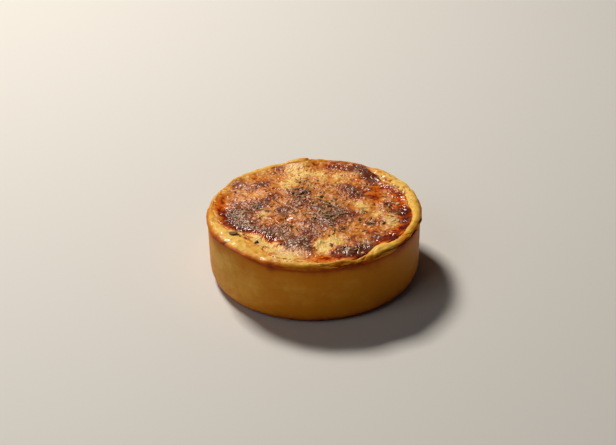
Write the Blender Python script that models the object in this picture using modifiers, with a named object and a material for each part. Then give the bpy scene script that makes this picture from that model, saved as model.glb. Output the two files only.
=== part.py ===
"""A deep, open-topped round chicken pie for one person.

A smooth straight-sided pastry case with a rolled, uneven rim is baked full of filling, whose top is
browned cheese with dried herbs. Metres, +Z up, the centre of the flat base at the origin.

    blender --background --python part.py
"""

import math
import random

import bmesh
import bpy
from mathutils import Euler, Matrix, Vector, noise

MM = 0.001

# ---- driving dimensions, in metres ----
RIM_RADIUS = 52.5 * MM  # the widest part of the rolled rim
WALL_RADIUS = 51.5 * MM  # the smooth side under the rim
CREST_HEIGHT = 33.2 * MM  # the rim's crest, before its own unevenness
CREASE_HEIGHT = 29.8 * MM  # the crease where the rim's roll meets the side
CREASE_DEPTH = 0.7 * MM  # how far the crease cuts in behind the side
BASE_FILLET = 5.5 * MM  # the rounded edge between side and base
SIDE_THICKNESS = 4.5 * MM  # the case's side, under the lip
BASE_THICKNESS = 4.0 * MM
LIP_WIDTH = 3.2 * MM  # from the rim's shoulder to its inner edge, before its own unevenness
LIP_FOOT = 8.0 * MM  # this far under the crest, the inside is a plain side again
FLOOR_CORNER = 3.0 * MM  # the inner corner between floor and side starts this far in
GAP = 0.35 * MM  # between the filling and the case
FILLING_EDGE_DROP = 1.7 * MM  # the filling meets the lip this far under the crest
FILLING_SKIRT = 1.0 * MM  # and runs straight down this far before it turns out under the lip
FILLING_DOME = 1.1 * MM  # the middle of the filling stands this much above its edge

SHOULDER_INSET = 1.5 * MM  # the shoulder, where the lip starts inward, lies this far inside the rim
SHOULDER_RADIUS = RIM_RADIUS - SHOULDER_INSET
LIP_EDGE_RADIUS = SHOULDER_RADIUS - LIP_WIDTH
INNER_RADIUS = WALL_RADIUS - SIDE_THICKNESS
ROLL_HEIGHT = CREST_HEIGHT - CREASE_HEIGHT

SEGMENTS = 112  # sides of each turned piece
FILLET_STEPS = 4  # facets over the base's rounded edge
FILLING_RINGS = 20  # rings on the filling's top
FILLING_RING_EASE = 0.9  # under 1, the rings lie a little closer together towards the edge
MERGE_DISTANCE = 0.01 * MM  # for the vertices that meet on a turned piece's axis

# ---- plain colours of the two materials (linear red, green, blue) and their roughness ----
GOLDEN_PASTRY = ((0.66, 0.36, 0.11), 0.55)
BROWNED_CHEESE = ((0.50, 0.20, 0.06), 0.38)

# ---- the rim's profile: where its stations lie ----
LIP_STATIONS = (
    # share of the lip's width from its inner edge, drop under the crest
    (0.00, 2.00 * MM),
    (0.10, 0.90 * MM),
    (0.38, 0.25 * MM),
    (0.72, 0.00 * MM),
    (1.00, 0.45 * MM),
)
ROLL_STATIONS = (
    # share of the roll's height, how far inside RIM_RADIUS
    (0.66, 0.45 * MM),
    (0.42, 0.00 * MM),
    (0.18, 0.30 * MM),
)
UNDER_CREASE_STATIONS = (
    # drop under the crease, how far inside WALL_RADIUS
    (0.9 * MM, 0.10 * MM),
    (3.0 * MM, 0.00 * MM),
)
INNER_CORNER_STATIONS = (
    # rise over the floor, how far inside the case's inner side
    (0.0 * MM, FLOOR_CORNER),
    (1.2 * MM, 0.6 * MM),
)

# ---- how the hand-pressed rim departs from a turned one: angle, spread (degrees), amount (metres) ----
LIP_SWELLS = (
    (221, 24, 8.2 * MM),  # the broad soft ledge
    (34, 17, 4.8 * MM),
    (3, 12, 2.4 * MM),
    (96, 7, 1.6 * MM),  # behind the lump that stands up at the back
    (118, 14, 0.9 * MM),
    (309, 7, 2.2 * MM),  # the short lobe folded over the filling
    (165, 16, -1.1 * MM),
    (274, 13, -0.9 * MM),
    (57, 8, -1.3 * MM),
)
CREASE_SWELLS = ((222, 18, 2.2 * MM),)  # the rim rolled less far down beside the broad ledge
CREASE_FADE = 8.0 * MM  # so far under the crease, the side is plain again
CREST_SWELLS = (
    (98.5, 4.5, 0.9 * MM),  # the lump at the back, and the notch's edge beside it
    (94, 3.2, 0.7 * MM),
    (292.5, 5.5, -0.8 * MM),  # a cracked dip beside the lobe
    (309, 7, 0.6 * MM),
    (213, 16, -0.4 * MM),
    (57, 7, -0.6 * MM),
    (142, 4, 0.7 * MM),
)

# ---- smooth noise on top of that: waves in a turn, amount, seed ----
LIP_RIPPLE = (26, 0.8 * MM, 3.0)
CREST_RIPPLE = (20, 0.7 * MM, 7.0)
SIDE_WAVE_TURN = 1.3  # how quickly the side's unevenness changes round the pie
SIDE_WAVE_HEIGHT = 22.0 * MM  # and over how much height
SIDE_WAVE_AMOUNT = 0.45 * MM

# ---- where the filling's top puffs up (+) or sinks (-): x, y, spread, rise, in millimetres ----
FILLING_SWELLS = (
    (-36, -4, 6.5, 0.8),
    (-26, 10, 5.0, 0.6),
    (-28, 27, 5.5, 0.5),
    (28, 33, 5.5, 0.7),
    (19, 17, 6.0, 0.6),
    (37, -9, 4.5, 0.8),
    (18, -37, 5.0, 0.8),
    (-8, -31, 6.0, 0.9),
    (-18, -19, 5.5, 0.5),
    (6, -9, 8.0, 0.6),
    (-6, 13, 7.0, 0.5),
    (-11, 33, 6.5, -0.4),
    (3, -37, 4.5, -0.6),
    (-26, -28, 5.5, -0.4),
    (33, 12, 5.0, -0.8),
    (-14, -9, 5.0, -0.4),
    (26, -23, 7.0, -0.3),
    (-42, 12, 5.0, -0.5),
)
FILLING_LUMPS = (
    # size and height of smooth noise on the top, and the shift that tells one noise from the other
    (6.5 * MM, 0.55 * MM, (0.0, 0.0, 0.0)),
    (3.6 * MM, 0.45 * MM, (9.0, 4.0, 0.0)),
)
EDGE_EASE = 4  # the power with which the top's height turns to the rim's own near the edge
EDGE_CALM = 8  # the power with which puffs and lumps die away at the edge

# ---- where the dried herbs lie: x, y, spread in millimetres, number of flakes ----
HERB_CLUSTERS = (
    (-6, 15, 4.5, 10),
    (7, 3, 4.5, 9),
    (8, -9, 4.5, 9),
    (-28, 3, 3.0, 4),
    (-15, -3, 3.0, 3),
    (-6, 28, 2.5, 3),
    (7, 24, 3.0, 2),
    (-8, -16, 4.5, 5),
    (27, -14, 5.0, 4),
    (6, -26, 5.0, 3),
    (0, 0, 24.0, 8),
)
HERB_REACH = 40.0 * MM  # no herb lies further out than this
HERB_MARGIN = 4.0 * MM  # nor closer to the pastry's lip than this
HERB_SPACING = 2.3 * MM  # nor closer to the next one's middle than this
HERB_TRIES = 60  # places tried for each flake
HERB_SEED = 41
HERB_LENGTH = (2.4, 4.8)  # least and most, in millimetres
HERB_WIDTH = (1.0, 1.6)
HERB_THICKNESS = (0.8, 1.1)
HERB_TILT = 0.12  # the most that a flake leans, in radians
HERB_LIFT = 0.22  # a flake's middle lies this share of its thickness above the cheese


def clear_scene():
    for obj in list(bpy.data.objects):
        bpy.data.objects.remove(obj)


def collection(name):
    made = bpy.data.collections.new(name)
    bpy.context.scene.collection.children.link(made)
    return made


def material(name, colour, roughness):
    made = bpy.data.materials.new(name)
    made.use_nodes = True
    shader = made.node_tree.nodes["Principled BSDF"]
    shader.inputs["Base Color"].default_value = (*colour, 1.0)
    shader.inputs["Roughness"].default_value = roughness
    shader.inputs["Metallic"].default_value = 0.0
    return made


# ---- the rim's and the filling's own forms ----


def swell(angle, swells):
    """The sum of smooth bells round the rim, in metres, at an angle in degrees."""
    total = 0.0
    for centre, spread, amount in swells:
        apart = (angle - centre + 180.0) % 360.0 - 180.0
        total += amount * math.exp(-((apart / spread) ** 2))
    return total


def ripple(angle, waves, amount, seed):
    """A seamless uneven ripple round the rim, with about that many waves in a turn."""
    turn = math.radians(angle)
    reach = waves / math.tau
    return amount * noise.noise(Vector((reach * math.cos(turn), reach * math.sin(turn), seed)))


def lip_extra(angle):
    """How much wider the lip is here than LIP_WIDTH."""
    return swell(angle, LIP_SWELLS) + ripple(angle, *LIP_RIPPLE)


def crest_extra(angle):
    """How much higher the crest is here than CREST_HEIGHT."""
    return swell(angle, CREST_SWELLS) + ripple(angle, *CREST_RIPPLE)


def crease_extra(angle, height):
    """How much higher the crease is here than CREASE_HEIGHT: it fades up the roll and down the side."""
    if height >= CREASE_HEIGHT:
        share = 1.0 - (height - CREASE_HEIGHT) / ROLL_HEIGHT
    else:
        share = 1.0 - (CREASE_HEIGHT - height) / CREASE_FADE
    return max(0.0, share) * swell(angle, CREASE_SWELLS)


def side_extra(angle, height):
    """The slight unevenness of the case's side and of the rim's roll."""
    turn = math.radians(angle)
    across = SIDE_WAVE_TURN * math.cos(turn)
    along = SIDE_WAVE_TURN * math.sin(turn)
    return SIDE_WAVE_AMOUNT * noise.noise(Vector((across, along, height / SIDE_WAVE_HEIGHT)))


def lip_edge(angle):
    """The radius of the lip's inner edge."""
    return LIP_EDGE_RADIUS - lip_extra(angle)


def filling_height(x, y):
    """The height of the filling's browned top."""
    angle = math.degrees(math.atan2(y, x))
    share = min(1.0, math.hypot(x, y) / lip_edge(angle))
    edge = CREST_HEIGHT + crest_extra(angle) - FILLING_EDGE_DROP
    middle = CREST_HEIGHT - FILLING_EDGE_DROP
    eased = share**EDGE_EASE
    height = middle + (edge - middle) * eased + FILLING_DOME * (1.0 - eased)
    loose = 1.0 - share**EDGE_CALM
    for centre_x, centre_y, spread, rise in FILLING_SWELLS:
        apart = math.hypot(x / MM - centre_x, y / MM - centre_y)
        height += loose * rise * MM * math.exp(-((apart / spread) ** 2))
    for size, amount, shift in FILLING_LUMPS:
        height += loose * amount * noise.noise(Vector((x, y, 0.0)) / size + Vector(shift))
    return height


# ---- turned pieces ----


def turn_profile(name, profile):
    """A closed mesh turned from (radius, height) points that start and end on the axis."""
    outline = bpy.data.meshes.new(name)
    points = [(radius, 0.0, height) for radius, height in profile]
    outline.from_pydata(points, [(i, i + 1) for i in range(len(points) - 1)], [])
    guide = bpy.data.objects.new(name + "_profile", outline)
    bpy.context.scene.collection.objects.link(guide)
    screw = guide.modifiers.new("turn", "SCREW")
    screw.steps = SEGMENTS
    screw.render_steps = SEGMENTS
    screw.use_merge_vertices = True
    screw.merge_threshold = MERGE_DISTANCE
    turned = bpy.data.meshes.new_from_object(
        guide.evaluated_get(bpy.context.evaluated_depsgraph_get())
    )
    turned.name = name
    bpy.data.objects.remove(guide)
    return turned


def reshape(mesh, profile, move):
    """Moves each turned vertex by move(station number, angle, radius, height)."""
    for vertex in mesh.vertices:
        x, y, height = vertex.co
        radius = math.hypot(x, y)
        angle = math.degrees(math.atan2(y, x))
        station = min(
            range(len(profile)),
            key=lambda i: abs(profile[i][0] - radius) + abs(profile[i][1] - height),
        )
        new_radius, new_height = move(station, angle, radius, height)
        turn = math.radians(angle)
        vertex.co = (new_radius * math.cos(turn), new_radius * math.sin(turn), new_height)


def pastry_case(home, pastry):
    """The case: its profile runs out over the inner floor, up inside, over the lip and down outside."""
    inside = [(0.0, BASE_THICKNESS)]
    inside += [(INNER_RADIUS - inset, BASE_THICKNESS + rise) for rise, inset in INNER_CORNER_STATIONS]
    inside += [(INNER_RADIUS, CREST_HEIGHT - LIP_FOOT)]
    lip = [(LIP_EDGE_RADIUS + share * LIP_WIDTH, CREST_HEIGHT - drop) for share, drop in LIP_STATIONS]
    rolled = [(RIM_RADIUS - inset, CREASE_HEIGHT + share * ROLL_HEIGHT) for share, inset in ROLL_STATIONS]
    rolled += [(WALL_RADIUS - CREASE_DEPTH, CREASE_HEIGHT)]
    rolled += [(WALL_RADIUS - inset, CREASE_HEIGHT - drop) for drop, inset in UNDER_CREASE_STATIONS]
    fillet = []
    for step in range(FILLET_STEPS + 1):
        bend = math.pi / 2 * step / FILLET_STEPS
        radius = WALL_RADIUS - BASE_FILLET * (1.0 - math.cos(bend))
        fillet.append((radius, BASE_FILLET * (1.0 - math.sin(bend))))
    profile = inside + lip + rolled + fillet + [(0.0, 0.0)]
    lip_start = len(inside)
    lip_stop = len(inside) + len(lip)
    base_start = len(profile) - 2

    def move(station, angle, radius, height):
        if station < lip_start or station >= base_start:
            return radius, height
        if station < lip_stop:
            share = (SHOULDER_RADIUS - radius) / LIP_WIDTH
            moved = radius - share * lip_extra(angle) + (1 - share) * side_extra(angle, height)
            return moved, height + crest_extra(angle)
        lift = max(0.0, (height - CREASE_HEIGHT) / ROLL_HEIGHT)
        raised = lift * crest_extra(angle) + crease_extra(angle, height)
        return radius + side_extra(angle, height), height + raised

    mesh = turn_profile("pastry_case", profile)
    reshape(mesh, profile, move)
    return finish("pastry_case", mesh, home, pastry)


def filling(home, baked):
    """The filling: its profile runs out over the browned top, down its side and back under it."""
    edge_height = CREST_HEIGHT - FILLING_EDGE_DROP
    outer_radius = INNER_RADIUS - GAP
    floor_height = BASE_THICKNESS + GAP
    shares = [(ring / FILLING_RINGS) ** FILLING_RING_EASE for ring in range(FILLING_RINGS + 1)]
    top = [(LIP_EDGE_RADIUS * share, edge_height) for share in shares]
    side = [(outer_radius, CREST_HEIGHT - LIP_FOOT)]
    side += [(outer_radius - inset, floor_height + rise) for rise, inset in reversed(INNER_CORNER_STATIONS)]
    skirt = [(LIP_EDGE_RADIUS, edge_height - FILLING_SKIRT)]
    profile = top + skirt + side + [(0.0, floor_height)]

    def move(station, angle, radius, height):
        if station > len(top):
            return radius, height
        moved = radius / LIP_EDGE_RADIUS * (lip_edge(angle) - GAP)
        turn = math.radians(angle)
        drop = FILLING_SKIRT if station == len(top) else 0.0
        return moved, filling_height(moved * math.cos(turn), moved * math.sin(turn)) - drop

    mesh = turn_profile("filling", profile)
    reshape(mesh, profile, move)
    return finish("filling", mesh, home, baked)


def finish(name, mesh, home, surface):
    """A closed, smooth-shaded object from a turned mesh, linked to its collection."""
    shaped = bmesh.new()
    shaped.from_mesh(mesh)
    bmesh.ops.triangulate(shaped, faces=shaped.faces)
    bmesh.ops.recalc_face_normals(shaped, faces=shaped.faces)
    shaped.to_mesh(mesh)
    shaped.free()
    mesh.shade_smooth()
    mesh.materials.clear()
    mesh.materials.append(surface)
    obj = bpy.data.objects.new(name, mesh)
    home.objects.link(obj)
    return obj


# ---- dried herbs ----


def herb_flake(home, number, x, y, length, width, thickness, yaw, tilt):
    """One flake: a small pointed lens, sunk by nearly a third in the cheese."""
    bpy.ops.mesh.primitive_uv_sphere_add(segments=6, ring_count=4, radius=0.5)
    flake = bpy.context.object
    flake.name = f"flake_{number:02d}"
    place = Matrix.Translation((x, y, filling_height(x, y) + HERB_LIFT * thickness))
    turn = Euler((0.5 * tilt, math.pi / 2 + tilt, 0.0)).to_matrix().to_4x4()
    size = Matrix.Diagonal((thickness, width, length, 1.0))
    flake.data.transform(place @ Matrix.Rotation(yaw, 4, "Z") @ turn @ size)
    for owner in list(flake.users_collection):
        owner.objects.unlink(flake)
    home.objects.link(flake)


def scatter_herbs(home):
    """Flakes in loose clusters, largest first in each, and none within HERB_SPACING of another."""
    draw = random.Random(HERB_SEED)
    taken = []
    for centre_x, centre_y, spread, count in HERB_CLUSTERS:
        lengths = sorted((draw.uniform(*HERB_LENGTH) for _ in range(count)), reverse=True)
        for length in lengths:
            for _ in range(HERB_TRIES):
                x = (centre_x + draw.gauss(0.0, spread)) * MM
                y = (centre_y + draw.gauss(0.0, spread)) * MM
                near = min((math.dist((x, y), other) for other in taken), default=1.0)
                edge = lip_edge(math.degrees(math.atan2(y, x)))
                if math.hypot(x, y) < min(HERB_REACH, edge - HERB_MARGIN) and near > HERB_SPACING:
                    break
            else:
                continue
            taken.append((x, y))
            herb_flake(
                home,
                len(taken),
                x,
                y,
                length=length * MM,
                width=draw.uniform(*HERB_WIDTH) * MM,
                thickness=draw.uniform(*HERB_THICKNESS) * MM,
                yaw=draw.uniform(0.0, math.pi),
                tilt=draw.uniform(-HERB_TILT, HERB_TILT),
            )


def fuse(obj, toppings):
    """Joins a collection of toppings to obj with one union, and removes the loose ones."""
    union = obj.modifiers.new("toppings", "BOOLEAN")
    union.operation = "UNION"
    union.operand_type = "COLLECTION"
    union.collection = toppings
    union.solver = "MANIFOLD"
    fused = bpy.data.meshes.new_from_object(
        obj.evaluated_get(bpy.context.evaluated_depsgraph_get())
    )
    obj.modifiers.clear()
    fused.name = obj.data.name
    obj.data = fused
    for topping in list(toppings.objects):
        bpy.data.objects.remove(topping)
    bpy.data.collections.remove(toppings)


def build():
    clear_scene()
    pie = collection("chicken_pie")
    herbs = collection("dried_herbs")
    pastry = material("golden_pastry", *GOLDEN_PASTRY)
    baked = material("browned_cheese", *BROWNED_CHEESE)
    pastry_case(pie, pastry)
    top = filling(pie, baked)
    scatter_herbs(herbs)
    bpy.context.view_layer.update()
    fuse(top, herbs)


build()
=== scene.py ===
# %% [markdown]
# # A deep little chicken pie, dressed for a close look
#
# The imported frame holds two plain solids: the pastry case, and the filling that was baked in it with some
# dried herbs on top. This lesson gives them the looks of the real pie: a smooth, lightly oiled case with a
# rim pressed by hand, and a top of baked cheese that has blistered, wrinkled and browned unevenly.
# Each code cell below makes one thing, and prints what it made or measured.

import math
import random

import bmesh
import bpy
import numpy as np
from mathutils import Matrix, Vector, noise
from mathutils.bvhtree import BVHTree


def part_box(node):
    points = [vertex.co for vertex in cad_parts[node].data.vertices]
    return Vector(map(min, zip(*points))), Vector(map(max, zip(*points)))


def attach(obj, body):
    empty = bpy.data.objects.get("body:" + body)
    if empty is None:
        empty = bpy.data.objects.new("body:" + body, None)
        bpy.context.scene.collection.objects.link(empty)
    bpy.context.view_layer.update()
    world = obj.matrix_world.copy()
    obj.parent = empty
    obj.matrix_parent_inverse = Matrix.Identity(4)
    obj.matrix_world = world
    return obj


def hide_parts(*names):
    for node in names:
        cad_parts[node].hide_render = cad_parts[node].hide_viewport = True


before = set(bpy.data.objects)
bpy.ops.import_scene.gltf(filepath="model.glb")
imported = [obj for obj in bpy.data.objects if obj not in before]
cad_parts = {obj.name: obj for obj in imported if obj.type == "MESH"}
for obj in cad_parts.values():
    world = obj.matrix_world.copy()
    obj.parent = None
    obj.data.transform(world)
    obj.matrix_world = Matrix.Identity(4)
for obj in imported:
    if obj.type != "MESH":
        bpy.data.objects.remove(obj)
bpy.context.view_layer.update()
case_low, case_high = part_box("pastry_case")
filling_low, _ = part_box("filling")

# %% [markdown]
# ## The sizes that everything follows
#
# The frame is in metres. Food is easier to think about in millimetres, so MM turns one into the other.
# The width comes from the frame itself. The case was turned on these few sizes and then pressed uneven,
# so the dressed pieces repeat them: that way the fine surface lies where the plain solid lies.

# %% Sizes
MM = 0.001
RIM_RADIUS = round((case_high.x - case_low.x) / 2, 4)
WALL_RADIUS = RIM_RADIUS - 1.0 * MM
SHOULDER_RADIUS = RIM_RADIUS - 1.5 * MM  # where the lip starts inward
CREST = 33.2 * MM  # the top of the rim's roll
CREASE = 29.8 * MM  # and its foot
BASE_FILLET = 5.5 * MM
SIDE_THICKNESS = 4.5 * MM
BASE_THICKNESS = filling_low.z
INNER_RADIUS = WALL_RADIUS - SIDE_THICKNESS
LIP_WIDTH = 3.2 * MM
LIP_FOOT = 8.0 * MM  # so far under the crest, the inside is a plain side again
LIP_EDGE_RADIUS = SHOULDER_RADIUS - LIP_WIDTH
EDGE_DROP = 1.7 * MM  # the filling meets the lip so far under the crest
DOME = 1.1 * MM  # the middle of the filling stands so much above its edge
CHEESE_REACH = 45.0  # crumbs and shreds are strewn out to here, in millimetres
ANYWHERE = (0.0, 0.0, 0.0)
UP = Vector((0.0, 0.0, 1.0))
print(f"rim radius {RIM_RADIUS / MM:.2f} mm, filling from {BASE_THICKNESS / MM:.2f} mm up")

# %% [markdown]
# ## How the rim and the filling depart from a turned shape
#
# A cook presses pastry into the tin with a thumb, so the lip is wide here and thin there. A row of smooth
# bells round the rim says so: each has a direction in degrees, a spread in degrees and an amount. The
# filling's top has the same sort of list for where it puffed up and where it sank. Noise adds the rest.

# %% The hand-pressed unevenness
# round the rim: direction, spread, amount
LIP_SWELLS = (
    (221, 24, 8.2 * MM), (34, 17, 4.8 * MM), (3, 12, 2.4 * MM), (96, 7, 1.6 * MM), (118, 14, 0.9 * MM),
    (309, 7, 2.2 * MM), (165, 16, -1.1 * MM), (274, 13, -0.9 * MM), (57, 8, -1.3 * MM),
)
CREASE_SWELLS = ((222, 18, 2.2 * MM),)  # the rim rolled less far down beside the broad ledge
CREASE_FADE = 8.0 * MM  # so far under the crease, the side is plain again
CREST_SWELLS = (
    (98.5, 4.5, 0.9 * MM), (94, 3.2, 0.7 * MM), (292.5, 5.5, -0.8 * MM), (309, 7, 0.6 * MM),
    (213, 16, -0.4 * MM), (57, 7, -0.6 * MM), (142, 4, 0.7 * MM),
)
# on the filling, in millimetres: x, y, spread, rise
FILLING_SWELLS = (
    (-36, -4, 6.5, 0.8), (-26, 10, 5, 0.6), (-28, 27, 5.5, 0.5), (28, 33, 5.5, 0.7), (19, 17, 6, 0.6),
    (37, -9, 4.5, 0.8), (18, -37, 5, 0.8), (-8, -31, 6, 0.9), (-18, -19, 5.5, 0.5), (6, -9, 8, 0.6),
    (-6, 13, 7, 0.5), (-11, 33, 6.5, -0.4), (3, -37, 4.5, -0.6), (-26, -28, 5.5, -0.4),
    (33, 12, 5, -0.8), (-14, -9, 5, -0.4), (26, -23, 7, -0.3), (-42, 12, 5, -0.5),
)


def turned_apart(angle, centre):
    """Degrees from one direction to another, the short way round."""
    return (angle - centre + 180.0) % 360.0 - 180.0


def bell(distance, spread):
    """1 where the distance is 0, dying away smoothly on both sides."""
    return np.exp(-((distance / spread) ** 2))


def swell(angle, swells):
    """The sum of bells round the rim, for one angle or an array of them, in degrees."""
    total = 0.0 * angle
    for centre, spread, amount in swells:
        total = total + amount * bell(turned_apart(angle, centre), spread)
    return total


def swell_share(angle, swells):
    """The same, kept between 0 and 1."""
    return np.clip(swell(angle, swells), 0.0, 1.0)


def bells(x, y, patches):
    """The same over the filling's top: patches are (x, y, spread, amount), all in millimetres."""
    total = 0.0 * x
    for centre_x, centre_y, spread, amount in patches:
        total = total + amount * np.exp(-((x - centre_x) ** 2 + (y - centre_y) ** 2) / spread**2)
    return total


def cloud(points, size, shift=ANYWHERE):
    """Smooth noise, about -1 to 1, at an array of points: its lumps are about as wide as size."""
    moved = points / size + np.array(shift)
    return np.array([noise.noise(Vector(p)) for p in moved])


def clouds(points, *layers):
    """Several such noises on top of one another: each layer is (amount, size, shift)."""
    return sum(amount * cloud(points, size, shift) for amount, size, shift in layers)


def crests(points, size, shift, sharpness):
    """Thin wandering ridges where a noise passes through zero: 1 on the crest, 0 away from it."""
    return bell(cloud(points, size, shift), sharpness)


def ripple(angle, waves, amount, seed):
    """Uneven waves round the rim that meet where the turn closes."""
    turn = np.radians(angle)
    reach = waves / math.tau
    ring = np.stack([reach * np.cos(turn), reach * np.sin(turn), 0.0 * turn + seed], axis=-1)
    return amount * cloud(ring.reshape(-1, 3), 1.0).reshape(np.shape(turn))


def lip_extra(angle):
    return swell(angle, LIP_SWELLS) + ripple(angle, 26, 0.8 * MM, 3.0)


def crest_extra(angle):
    return swell(angle, CREST_SWELLS) + ripple(angle, 20, 0.7 * MM, 7.0)


def crease_extra(angle, height):
    """How much higher the crease is there: it fades up the roll and down the side."""
    over = 1.0 - (height - CREASE) / (CREST - CREASE)
    under = 1.0 - (CREASE - height) / CREASE_FADE
    return np.clip(np.where(height > CREASE, over, under), 0.0, 1.0) * swell(angle, CREASE_SWELLS)


def lip_edge(angle):
    """The radius of the lip's inner edge."""
    return LIP_EDGE_RADIUS - lip_extra(angle)


def smooth_step(value, start, stop):
    """0 before start, 1 after stop, and an easy curve between them."""
    share = np.clip((value - start) / (stop - start), 0.0, 1.0)
    return share * share * (3.0 - 2.0 * share)


def between(value, start, stop, rise, fall):
    """0 outside start and stop, with an easy rise after the one and an easy fall before the other."""
    return smooth_step(value, start, start + rise) * (1 - smooth_step(value, stop - fall, stop))


every_degree = np.arange(0.0, 360.0)
print(
    f"lip {(LIP_WIDTH + lip_extra(every_degree).min()) / MM:.1f} to "
    f"{(LIP_WIDTH + lip_extra(every_degree).max()) / MM:.1f} mm wide, crest moved by "
    f"{crest_extra(every_degree).min() / MM:.1f} to {crest_extra(every_degree).max() / MM:.1f} mm"
)

# %% [markdown]
# ## Helpers for working on one piece at a time
#
# An operator acts on all that is selected, and the frame's nodes come in selected. So each step first
# takes up its own piece alone. A finished piece carries numbers on its points, called attributes, such as
# how browned the crust is there. Its material reads them.

# %% Helpers
def take_up(piece):
    """Makes one piece the active and only selected object."""
    bpy.ops.object.select_all(action="DESELECT")
    piece.select_set(True)
    bpy.context.view_layer.objects.active = piece


def start_from(primitive, name, **settings):
    """A new primitive, alone selected, with its place and turn applied to its mesh."""
    bpy.ops.object.select_all(action="DESELECT")
    primitive(**settings)
    piece = bpy.context.object
    piece.name = name
    bpy.ops.object.transform_apply(location=True, rotation=True, scale=True)
    return piece


def select_border(piece):
    """In edit mode: selects the edges that have a face on one side only."""
    bpy.ops.mesh.select_mode(type="EDGE")
    bpy.ops.mesh.select_all(action="DESELECT")
    shape = bmesh.from_edit_mesh(piece.data)
    for edge in shape.edges:
        edge.select = edge.is_boundary
    bmesh.update_edit_mesh(piece.data)


def fan_shut():
    """In edit mode: closes the selected ring of edges with a fan."""
    bpy.ops.mesh.edge_face_add()
    bpy.ops.mesh.poke()


def face_outwards():
    """In edit mode: turns every face outwards, and goes back to object mode."""
    bpy.ops.mesh.select_all(action="SELECT")
    bpy.ops.mesh.normals_make_consistent(inside=False)
    bpy.ops.object.mode_set(mode="OBJECT")


def round_off(piece, levels):
    """Adds a Subdivision Surface."""
    rounding = piece.modifiers.new("rounding", "SUBSURF")
    rounding.levels = levels
    rounding.render_levels = levels


def give_wall(piece, thickness):
    """Adds a Solidify to both sides of a sheet."""
    wall = piece.modifiers.new("wall", "SOLIDIFY")
    wall.thickness = thickness
    wall.offset = 0.0


def apply_all(piece):
    """Applies the piece's modifiers, first to last."""
    take_up(piece)
    for name in [modifier.name for modifier in piece.modifiers]:
        bpy.ops.object.modifier_apply(modifier=name)


def points_of(piece, field="co"):
    """The piece's vertices, or with field "normal" their normals, as an array of (x, y, z)."""
    flat = np.zeros(3 * len(piece.data.vertices), np.float32)
    piece.data.vertices.foreach_get(field, flat)
    return flat.reshape(-1, 3).astype(float)


def move_points(piece, points):
    piece.data.vertices.foreach_set("co", points.astype(np.float32).ravel())
    piece.data.update()


def note(piece, name, values):
    """Keeps one number for each vertex under a name that the material can read."""
    layer = piece.data.attributes.new(name, "FLOAT", "POINT")
    layer.data.foreach_set("value", values.astype(np.float32))


def smooth_shaded(piece):
    take_up(piece)
    bpy.ops.object.shade_smooth()


def new_piece(name, verts, faces):
    """An object with a mesh of its own from lists of vertices and faces."""
    mesh = bpy.data.meshes.new(name)
    mesh.from_pydata(verts, [], faces)
    piece = bpy.data.objects.new(name, mesh)
    bpy.context.scene.collection.objects.link(piece)
    return piece


def triangles(piece):
    return sum(len(face.vertices) - 2 for face in piece.data.polygons)


# %% [markdown]
# ## The pastry case, first as a turned cage
#
# The real case is one sheet of shortcrust pressed into a round tin: a flat base, a rounded corner, a
# straight side, a crease where the tin ended, and a rim that rolled over it. It could be spun from a
# profile. Here one ring of vertices is extruded again and again and resized to each station, as one would
# by hand, because that leaves no doubled seam. Subdivision Surface then rounds the coarse cage.

# %% Turn the cage of the case
CAGE_SIDES = 168


def case_profile():
    """(radius, height) stations: out over the base, up the side, over the rim and down inside."""
    base = [(16 * MM, 0.0), (36 * MM, 0.0), (44.6 * MM, 0.0)]
    corner = [
        (WALL_RADIUS - BASE_FILLET * (1.0 - math.sin(bend)), BASE_FILLET * (1.0 - math.cos(bend)))
        for bend in np.radians([0.0, 30.0, 60.0, 90.0])
    ]
    side = [(WALL_RADIUS, height * MM) for height in (10, 15, 20, 24.5, 27.6)]
    crease = [
        (WALL_RADIUS - 0.05 * MM, CREASE - 0.85 * MM),
        (WALL_RADIUS - 0.32 * MM, CREASE - 0.05 * MM),
        (RIM_RADIUS - 0.62 * MM, CREASE + 0.45 * MM),
    ]
    roll = [
        (RIM_RADIUS + 0.05 * MM, CREASE + 1.05 * MM),
        (RIM_RADIUS - 0.40 * MM, CREASE + 1.95 * MM),
        (RIM_RADIUS - 1.15 * MM, CREST - 0.62 * MM),
        (SHOULDER_RADIUS - 0.45 * MM, CREST - 0.12 * MM),
    ]
    lip = [
        (SHOULDER_RADIUS - 0.32 * LIP_WIDTH, CREST + 0.08 * MM),
        (SHOULDER_RADIUS - 0.58 * LIP_WIDTH, CREST - 0.12 * MM),
        (SHOULDER_RADIUS - 0.80 * LIP_WIDTH, CREST - 0.55 * MM),
        (SHOULDER_RADIUS - 0.96 * LIP_WIDTH, CREST - 1.30 * MM),
        (LIP_EDGE_RADIUS - 0.05 * MM, CREST - 2.40 * MM),
    ]
    inside = [
        (LIP_EDGE_RADIUS - 0.2 * MM, CREST - 4.0 * MM),
        (INNER_RADIUS, CREST - LIP_FOOT),
        (INNER_RADIUS, BASE_THICKNESS + 4.0 * MM),
        (INNER_RADIUS - 3.0 * MM, BASE_THICKNESS - 0.3 * MM),
        (INNER_RADIUS - 20.0 * MM, BASE_THICKNESS - 0.3 * MM),
    ]
    return base + corner + side + crease + roll + lip + inside


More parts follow.
